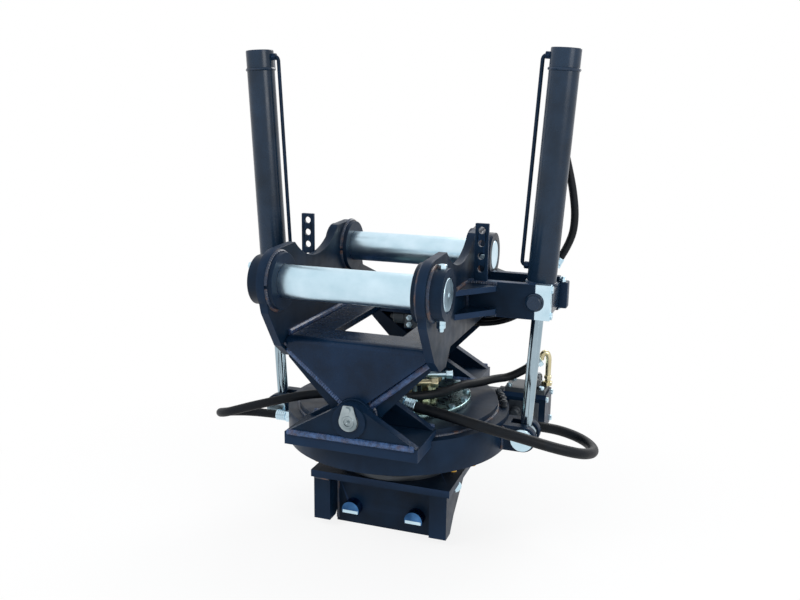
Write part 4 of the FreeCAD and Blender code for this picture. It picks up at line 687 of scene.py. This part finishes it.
def ferrule_grids(points, radius, length):
    """Crimped ferrule at the first end of a route, ringed by the crimping dies, and the nut behind it."""
    start, way = end_of(points)
    wide = radius * 1.25
    profile = [(0, -0.6), (wide * 0.97, -0.6), (wide, 0.4)]
    for step in range(4):
        low = length * (0.12 + 0.2 * step)
        profile += [(wide, low), (wide * 0.93, low + length * 0.03), (wide * 0.93, low + length * 0.1)]
        profile += [(wide, low + length * 0.13)]
    profile += [(wide, length * 0.9), (radius * 0.9, length), (0, length)]
    nut = bolt_points(start + way * length, way, radius * 1.45, length * NUT_SHARE)
    return [lathe_points(profile, start, way, 40), nut]


def leaned(grid, side):
    """Cylinder points drawn upright at the right trunnion, leaned about it, and mirrored for the left."""
    x, y, z = grid[..., 0] / MM, grid[..., 1] / MM, grid[..., 2] / MM
    across = TRUNNION_X + x * math.cos(LEAN) + z * math.sin(LEAN)
    up = TRUNNION_Z - x * math.sin(LEAN) + z * math.cos(LEAN)
    return np.stack([across * side, y, up], axis=-1) * MM


def barrel_grids():
    """Honed tube with its rolled bead and end cap, gland nut and the ring above the trunnion block, as
    turned forms round the cylinder's axis."""
    tube = (
        (0, 486), (25.2, 486), (25.2, -34), (29.4, -34), (30, -33.2), (30, 430), (30, 449.6), (31.6, 450.4),
        (32.9, 453), (31.6, 455.6), (30, 456.4), (30, 470), (30, 491.6), (29.2, 493), (26, 493), (0, 493),
    )
    gland = ((12.6, -42), (28, -42), (29, -41), (29, -34.6), (28.6, -34), (12.6, -34), (12.6, -42))
    ring = ((29, 28), (32, 28.4), (33.4, 30.5), (32, 33), (29, 34), (29, 28))
    return [lathe_points(form, (0, 0, 0), UP, sides) for form, sides in ((tube, 64), (gland, 48), (ring, 64))]


def block_points(low, high, round_mm, bore=0.0):
    """A block with rounded edges: each ring of a rounded rectangle is carried up the height and drawn
    in at both ends, to the middle or to the rim of an upright bore."""
    low, high = np.asarray(low, float), np.asarray(high, float)
    middle, half = (low + high) / 2, (high - low) / 2
    corner = np.linspace(0, math.pi / 2, 4)
    rings = []
    for inset, level in (
        (None, -half[2]),
        (round_mm, -half[2]),
        (round_mm * 0.3, -half[2] + round_mm * 0.3),
        (0.0, -half[2] + round_mm),
        (0.0, half[2] - round_mm),
        (round_mm * 0.3, half[2] - round_mm * 0.3),
        (round_mm, half[2]),
        (None, half[2]),
    ):
        drawn = round_mm if inset is None else inset
        points = []
        for quarter, (sx, sy) in enumerate(((1, 1), (-1, 1), (-1, -1), (1, -1))):
            angle = corner + quarter * math.pi / 2
            reach = np.maximum(half[:2] - drawn - round_mm, 0.01)
            points.append(
                np.stack(
                    [
                        sx * reach[0] + round_mm * np.cos(angle),
                        sy * reach[1] + round_mm * np.sin(angle),
                        np.full(len(angle), level),
                    ],
                    axis=1,
                )
            )
        ring = np.vstack(points)
        if bore:
            # Eight columns along each side keep the bore round.
            steps = np.linspace(0, 1, 8, endpoint=False)[:, None]
            runs = np.roll(ring, -1, axis=0) - ring
            ring = (ring[:, None] + steps * runs[:, None]).reshape(-1, 3)
        if inset is None:
            ring[:, :2] *= bore / np.linalg.norm(ring[:, :2], axis=1, keepdims=True)
        rings.append(ring)
    if bore:
        rings.append(rings[0])
    return (np.array(rings) + middle) * MM


class TILTROTATOR_OT_cylinders(bpy.types.Operator):
    """Tilt cylinders with bead, end cap, bored trunnion block, port block and oil pipe"""

    bl_idname = "tiltrotator.cylinders"
    bl_label = "Tilt cylinders"

    def execute(self, context):
        trunnion = ((0, 27), (18, 27), (18, 64.5), (16.5, 66), (15, 66.4), (15, 72), (13, 74), (0, 74))
        barrel = barrel_grids() + [block_points((-33, -43, -28), (33, 43, 28), 3, 28.5)]
        barrel += [lathe_points(trunnion, (0, 0, 0), (0, way, 0)) for way in (-1, 1)]
        barrel.append(block_points((-12, 24, 453), (12, 48, 487), 2))
        port, foot = 478, 62
        pipe = rounded_path(((-24, 0, port), (-44, 0, port), (-44, 0, foot), (-24, 0, foot)), 12, 10)
        line = [tube_points(pipe, 4, 14)]
        line += [bolt_points((-30, 0, height), (-1, 0, 0), 8, 9) for height in (port, foot)]
        for tag, side in (("right", 1), ("left", -1)):
            body = f"{tag}_cylinder"
            grids = [leaned(grid, side) for grid in barrel]
            add_piece(f"{tag}_barrel_look", grids, "tube_enamel", body, f"{tag}_barrel", f"{tag}_gland")
            grids = [leaned(grid, side) for grid in line]
            add_piece(f"{tag}_pipe_look", grids, "enamel", body, f"{tag}_oil_pipe")
        return {"FINISHED"}


def ring_path(middle, way, radius, count=48):
    """Points of a nearly closed ring round a middle, square to a way."""
    first, second, _ = axes_of(way)
    angle = np.radians(np.linspace(0, 356, count))[:, None]
    return np.asarray(middle, float) + radius * (np.cos(angle) * first + np.sin(angle) * second)


def both_sides(paths):
    """The paths and their mirror images at the other side."""
    paths = [np.asarray(path, float) for path in paths]
    return paths + [path * (-1, 1, 1) for path in paths]


def hull_points(discs, inset):
    """Outline round several discs of middle and radius, drawn in by an inset: at each direction the
    point of the disc that reaches farthest."""
    ways = circle(64, np.array([1.0, 0.0]), np.array([0.0, 1.0]))
    middles = np.array([disc[0] for disc in discs], float)
    radii = np.array([disc[1] for disc in discs], float) - inset
    best = np.argmax(ways @ middles.T + radii, axis=1)
    return middles[best] + radii[best][:, None] * ways


def plate_grid(discs, thickness, place, way):
    """A flat plate with that outline and rounded edges, its back at a place and its front along a way."""
    soft = 0.8
    rows = []
    for inset, level in (
        (None, 0.0),
        (soft, 0.0),
        (0.0, soft),
        (0.0, thickness - soft),
        (0.3 * soft, thickness - 0.3 * soft),
        (soft, thickness),
        (1.4 * soft, thickness),
        (None, thickness),
    ):
        outline = hull_points(discs, inset or 0.0)
        if inset is None:
            outline = np.zeros_like(outline)
        rows.append(np.hstack([outline, np.full((len(outline), 1), level)]))
    rows = np.array(rows)
    third, up = np.asarray(way, float), np.asarray(UP, float)
    side = np.cross(up, third)
    turned = rows[..., :1] * side + rows[..., 1:2] * up + rows[..., 2:] * third
    return (np.asarray(place, float) + turned) * MM


class TILTROTATOR_OT_pins(bpy.types.Operator):
    """Coupling pins with chamfered ends and centre holes, and the tilt pins' plates with grease nipples"""

    bl_idname = "tiltrotator.pins"
    bl_label = "Pins"

    def execute(self, context):
        half, radius = 190, 32.5
        end = (
            (0, half - 3), (3.6, half - 0.4), (4.6, half), (29.5, half), (32.3, half - 2.8),
            (radius, half - 3.6),
        )
        profile = [(reach, -height) for reach, height in end] + list(end[::-1])
        for tag, (y, rise) in COUPLING_PINS.items():
            pin = [lathe_points(profile, (0, y, AXIS + rise), (1, 0, 0), 96)]
            add_piece(f"{tag}_pin_look", pin, "zinc", "tilt_frame", f"{tag}_coupling_pin")
        pear = (((0, 0), 19), ((-7.5, 29.5), 3.5), ((7.5, 29.5), 3.5))
        nipple = (
            (0, -8), (1.6, -8), (2.6, -7), (2.6, -5.6), (1.9, -5), (1.9, -3.8), (3.4, -3.4), (3.4, 0), (0, 0),
        )
        boss = ((7, -0.5), (8, 1.4), (12, 1.4), (13, -0.5), (7, -0.5))
        grids = []
        for way in (-1, 1):
            out = (0, way, 0)
            grids.append(plate_grid(pear, 4, (0, way * 294, AXIS), out))
            grids.append(lathe_points(nipple, (0, way * 297.5, AXIS), (0, -way, 0), 24))
            grids.append(bolt_points((0, way * 298, AXIS + 25), out, 5.5, 3.5))
            grids.append(lathe_points(boss, (0, way * 298, AXIS), out, 40))
        add_piece("pin_retainers_look", grids, "dull_zinc", "housing", "pin_retainers")
        return {"FINISHED"}


class TILTROTATOR_OT_fasteners(bpy.types.Operator):
    """Hexagon heads and nuts with chamfers on the trunnion caps and on the coupling pins' bosses"""

    bl_idname = "tiltrotator.fasteners"
    bl_label = "Fasteners"

    def execute(self, context):
        grids = [
            bolt_points((side * 336, y, TRUNNION_Z + across), (side, 0, 0), 8, 3.5)
            for side in (-1, 1)
            for y in (-53, 53)
            for across in (-27, 27)
        ]
        add_piece("cap_bolts_look", grids, "zinc", "tilt_frame", "cap_bolts")
        # The lock bolts cross the right outer bosses, the front one upright and the rear one along y.
        x = 177
        (front_y, front), (rear_y, rear) = ((y, AXIS + rise) for y, rise in COUPLING_PINS.values())
        stud = ((0, -2), (4, -2), (5, -1), (5, 8), (0, 8))
        grids = [
            bolt_points((x, front_y, front + 47.5), UP, 8.6, 7.5),
            bolt_points((x, front_y, front - 47.5), (0, 0, -1), 8.6, 7.5),
            bolt_points((x, front_y, front - 55), (0, 0, -1), 8.6, 7.5),
            lathe_points(stud, (x, front_y, front - 67), UP, 24),
            bolt_points((x, rear_y - 47.5, rear), (0, -1, 0), 9.6, 8),
            bolt_points((x, rear_y + 47.5, rear), (0, 1, 0), 9.6, 8),
            bolt_points((x, rear_y + 55.5, rear), (0, 1, 0), 9.6, 8),
        ]
        add_piece("lock_bolts_look", grids, "zinc", "tilt_frame", "pin_lock_bolts")
        return {"FINISHED"}


class TILTROTATOR_OT_welds(bpy.types.Operator):
    """Fillet welds along the joints of the frame, the housing, the hitch and the lobes' bosses"""

    bl_idname = "tiltrotator.welds"
    bl_label = "Welds"

    def execute(self, context):
        # Heights of the deck's top, the side plates' feet and the arms' upper and lower beads.
        deck, foot, above, below = AXIS + 150, AXIS + 102, AXIS + 243, AXIS + 181
        frame_paths = both_sides(
            ((-146, sign * 270, foot + 30), (-146, sign * 267, deck - 16)) for sign in (-1, 1)
        )
        for x in (-1, 1):
            for y, rise in COUPLING_PINS.values():
                # Round the bosses on the inner and on the outer face of the side plate.
                for face, radius in ((147, 56), (164, 49)):
                    frame_paths.append(ring_path((x * face, y, AXIS + rise), (x, 0, 0), radius))
            for y in (-63, 63):
                frame_paths += [
                    ((x * 165, y, below - 3), (x * 165, y, above + 3)),
                    ((x * 166, y, above), (x * 228, y, above)),
                    ((x * 165, y, above), (x * 165, y * 2.35, above)),
                    ((x * 166, y, below), (x * 228, y, below)),
                ]
        web_paths = [((-148, y, foot + 19), (-22, y, AXIS + 15)) for y in (-252, 252)]
        web_paths += [((-146, y, deck + 1), (-146, -y * 0.22, deck + 1)) for y in (-248, 248)]
        # The wide web beads take the weld enamel with the stronger painted highlight.
        self.bead("web_welds", both_sides(web_paths), 7, "tilt_frame", "wide_weld_highlight_enamel")
        for y in (-251, 251):
            frame_paths.append(ring_path((0, y, AXIS), (0, 1, 0), 39.5))
        self.bead("frame_welds", frame_paths, 4.6, "tilt_frame")

        drum = AXIS - 40
        base_paths = [((-132, y, drum + 1), (132, y, drum + 1)) for y in (-291, -162, 162, 291)]
        # The ear base beads take the weld enamel with the stronger painted highlight.
        self.bead("ear_base_welds", base_paths, 6, "housing", "wide_weld_highlight_enamel")
        housing_paths = [ring_path((0, 0, drum - 14), UP, 221, 160)]
        for x in (-244, 244):
            for y in (-34.3, 34.3):
                housing_paths.append(((x, y, drum - 78), (x, y, drum - 26)))
        self.bead("housing_welds", housing_paths, 4.2, "housing")

        hitch_paths = [((-112, -83, 6), (-112, -83, 114)), ((-110, -83, 115), (110, -83, 115))]
        hitch_paths += [((112, -83, 6), (112, -83, 114)), ((-152, -124, 115), (-116, -124, 115))]
        self.bead("hitch_welds", hitch_paths, 3.8, "hitch")
        return {"FINISHED"}

    # By default a bead takes the weld enamel, whose lighter blue is a painted highlight.
    def bead(self, name, paths, size, body, finish="weld_highlight_enamel"):
        """One piece of all the beads on a body."""
        add_piece(name, [weld_points(path, size) for path in paths], finish, body)


def elbow_grids(points, radius, foot_way):
    """Bent pipe with a nut at its last point."""
    bend = tube_points(rounded_path(points, radius * 2.6, 11), radius)
    return [bend, bolt_points(points[-1], foot_way, radius * 1.5, radius)]


def arch_points(start, foot, rise):
    """Half an ellipse from a start to above a foot: the way across follows one minus the cosine of the
    turn, and the height its sine."""
    turn = np.linspace(0, math.pi, 15)[:, None]
    points = start + (foot - start) * (1 - np.cos(turn)) / 2
    points[:, 2] = start[2] + rise * np.sin(turn[:, 0])
    return points


class TILTROTATOR_OT_fittings(bpy.types.Operator):
    """Bent elbows and nuts behind the hoses' ferrules, the relief valve, the valve's knob and two pipes"""

    bl_idname = "tiltrotator.fittings"
    bl_label = "Fittings"

    def execute(self, context):
        back = (0, 1, 0)
        right = np.vstack([nut_end("right_loop_hose"), raised(((30, -136, -1), (30, -136, -30)))])
        bends = elbow_grids(right, 8, UP)
        foot = raised((300, 184, -35))
        arch = arch_points(nut_end("left_loop_hose"), foot, 17)
        bends += [tube_points(np.vstack([arch, [foot]]), 6.5), bolt_points(foot, UP, 11.5, 9)]
        bends.append(bolt_points(foot + (0, 0, 16), UP, 9, 7))
        bends += elbow_grids(raised(((96, -4, 12), (76, 2, 14), (76, 2, -30))), 8, UP)
        bends += elbow_grids(raised(((88, -44, 4), (70, -32, 6), (70, -32, -30))), 8, UP)
        relief = ((0, 0), (11, 0), (11, 7), (8.6, 8), (8.6, 20), (10.4, 21), (10.4, 28.6), (9.4, 30), (0, 30))
        bends.append(lathe_points(relief, (271.2, MOTOR_Y - 42, MOTOR_Z), (0, -1, 0), 32))
        add_piece("loop_elbows", bends, "yellow_zinc", "housing", "housing_fittings")
        # Two pipes that lie across the swivel, with nuts at both ends.
        for first, last, radius, finish in (
            ((42, -56, 12), (100, -34, 13), 7, "yellow_zinc"),
            ((48, -36, 25), (124, -6, 26), 6, "zinc"),
        ):
            near, far = ends = raised((first, last))
            way = (far - near) / np.linalg.norm(far - near)
            drop = (near + (0, 0, 0.5), near - (0, 0, 40))
            pipe = [
                tube_points(ends, radius),
                bolt_points(near, way, radius * 1.7, 12),
                bolt_points(far - 14 * way, way, radius * 1.7, 14),
                tube_points(drop, radius),
            ]
            add_piece(f"swivel_pipe_{radius}", pipe, finish, "housing")
        port = ((0, 0), (11, 0), (11, 9), (9, 10), (9, 19), (8, 24), (5, 27), (0, 28))
        grids = [lathe_points(port, raised((279, 181, -35)), UP, 32)]
        grids.append(bolt_points(raised((279, 158, -35)), UP, 9, 8))
        add_piece("motor_port_plugs", grids, "steel", "housing")

        bends = []
        for name, corner in (
            ("front_thin_hose", ((288, 80, 184), (288, 62, 184))),
            ("rear_thin_hose", ((275, 100, 214), (275, 62, 214))),
        ):
            bends += elbow_grids(np.vstack([nut_end(name), raised(corner)]), 4.8, back)
        knob = ((0, 0), (5, 0), (5, 6), (8.4, 7), (9, 8.2), (9, 24.6), (8.2, 26), (0, 26))
        bends.append(lathe_points(knob, (-14, 98, AXIS + 116), (-1, 0, 0), 32))
        add_piece("thin_elbows", bends, "zinc", "tilt_frame", "frame_fittings")

        grids = []
        for order, corner in ((1, ((320, 45, 556), (320, 28, 556))), (-1, ((316, 52, 264), (316, 28, 264)))):
            bend = np.vstack([nut_end("right_cylinder_hose", order), raised(corner)])
            grids += elbow_grids(bend, 8, back)
        add_piece("cylinder_elbows", grids, "zinc", "right_cylinder", "right_cylinder_fittings")
        return {"FINISHED"}


def on_circle(radius, degrees):
    """The x and y of the point at an angle on a circle round the turning axis."""
    angle = math.radians(degrees)
    return radius * math.cos(angle), radius * math.sin(angle)


class TILTROTATOR_OT_details(bpy.types.Operator):
    """Port block of the cylinder's hose, valve caps, solenoid, motor screws, hub steps, the hitch's bolt"""

    bl_idname = "tiltrotator.details"
    bl_label = "Details"

    def execute(self, context):
        block = block_points((335, 38, AXIS + 182), (354, 66, AXIS + 238), 2.5)
        add_piece("hose_port_block", [block], "enamel", "tilt_frame")
        grids = [bolt_points((343, 46, AXIS + 237.5), UP, 6.5, 7)]
        grids.append(lathe_points(((0, 0), (4, 0), (4, 4), (3, 5), (0, 5)), (343, 46, AXIS + 244), UP, 24))
        add_piece("hose_port_plug", grids, "zinc", "tilt_frame")

        rim = AXIS - 54
        cap = ((0, 0), (8, 0), (8, 3), (6.6, 4), (6.6, 8), (7.6, 9), (7.6, 13), (5.6, 14.5), (0, 14.5))
        grids = []
        for degrees in (13, 19, 25, 31):
            x, y = on_circle(233, degrees)
            grids.append(lathe_points(cap, (x, y, rim), UP, 28))
            grids.append(bolt_points((x, y, rim + 14.2), UP, 4.5, 2.5))
        add_piece("valve_caps", grids, "cast", "housing")

        # Motor: its end plate's screws, its own screws, and the plate and plug of its ports.
        y, z = MOTOR_Y, MOTOR_Z
        screw = ((0, 0), (6.5, 0), (6.5, 5.4), (5.6, 6), (3, 6), (3, 3), (0, 3))
        grids = []
        for across in (-32, 32):
            for up in (-32, 32):
                grids.append(bolt_points((306, y + across, z + up), (1, 0, 0), 6.5, 5))
                grids.append(lathe_points(screw, (256 + across * 1.15, y + up * 0.8, AXIS - 35), UP, 24))
        add_piece("motor_screws", grids, "zinc", "housing")
        plug = ((0, 0), (13, 0), (13, 4), (11, 5), (11, 16), (8, 18), (0, 18))
        grids = [block_points((222, y - 45, z - 22), (292, y - 41.5, z + 26), 2.5)]
        grids.append(lathe_points(plug, (240, y - 45, z), (0, -1, 0), 32))
        grids.append(block_points((264, y - 26, AXIS - 35.5), (286, y - 4, AXIS - 14), 5))
        add_piece("motor_ports", grids, "cast", "housing")

        # Solenoid with its coil nut, and the plugs on the valve block's cover.
        coil = ((0, 0), (15, 0), (16, 1), (16, 25), (15, 26), (6, 26), (6, 34), (5, 35), (0, 35))
        grids = [lathe_points(coil, (-14, 80, AXIS + 122), (-1, 0, 0), 36)]
        grids.append(block_points((-13, 66, AXIS + 100), (44, 68.5, AXIS + 132), 1.2))
        add_piece("valve_coil", grids, "cast", "tilt_frame")
        grids = [bolt_points((x, 66, AXIS + 116 + up), (0, -1, 0), 7, 5) for x in (0, 30) for up in (-8, 8)]
        add_piece("valve_plugs", grids, "zinc", "tilt_frame")

        # Swivel hub's collar and its plugs.
        deck = AXIS - 30
        collar = (
            (0, 0), (64.5, 0), (64.5, 6), (62, 7.5), (62, 30), (60, 34), (50, 38), (41, 38.4), (41, 40),
            (42.5, 41), (42.5, 47), (40, 50), (20, 52.2), (0, 52.2),
        )
        grids = [lathe_points(collar, (0, 0, deck), UP, 72)]
        for degrees in range(20, 380, 45):
            grids.append(bolt_points((*on_circle(52, degrees), deck + 36.5), UP, 6, 5))
        add_piece("hub_collar", grids, "oiled_zinc", "housing")

        # Bolt with its washer on the hitch's right side, turned to the front, and the lock pins' wedges.
        face = (0.62, -0.78, 0)
        washer = ((0, 0), (13, 0), (13, 5), (12, 6), (7, 6.4), (0, 6.4))
        bolt = [lathe_points(washer, (149, -50, 110), face, 36)]
        bolt.append(bolt_points((152.6, -54.6, 110), face, 8, 4))
        add_piece("hitch_bolt", bolt, "zinc", "hitch")
        wedges = [block_points((x - 18, -109.2, 33.4), (x + 18, -107.4, 40.4), 0.6) for x in (-73, 73)]
        add_piece("lock_pin_wedges", wedges, "zinc", "lock")
        return {"FINISHED"}


class TILTROTATOR_PT_panel(bpy.types.Panel):
    """Lists the steps that dress the tiltrotator"""

    bl_idname = "TILTROTATOR_PT_panel"
    bl_label = "Tiltrotator"
    bl_space_type = "VIEW_3D"
    bl_region_type = "UI"
    bl_category = "Tiltrotator"

    def draw(self, context):
        sizes = context.scene.tiltrotator_sizes
        self.layout.prop(sizes, "edge_round")
        self.layout.prop(sizes, "lens")
        for step in STEPS:
            self.layout.operator(step.bl_idname)


STEPS = (
    TILTROTATOR_OT_stage,
    TILTROTATOR_OT_finishes,
    TILTROTATOR_OT_hoses,
    TILTROTATOR_OT_cylinders,
    TILTROTATOR_OT_pins,
    TILTROTATOR_OT_fasteners,
    TILTROTATOR_OT_welds,
    TILTROTATOR_OT_fittings,
    TILTROTATOR_OT_details,
)
CLASSES = (TiltrotatorSizes,) + STEPS + (TILTROTATOR_PT_panel,)


def register():
    for cls in CLASSES:
        bpy.utils.register_class(cls)
    bpy.types.Scene.tiltrotator_sizes = bpy.props.PointerProperty(type=TiltrotatorSizes)


def unregister():
    del bpy.types.Scene.tiltrotator_sizes
    for cls in reversed(CLASSES):
        bpy.utils.unregister_class(cls)


def main():
    """Runs every step in order."""
    register()
    for step in STEPS:
        group, action = step.bl_idname.split(".")
        getattr(getattr(bpy.ops, group), action)()


if __name__ == "__main__":
    main()
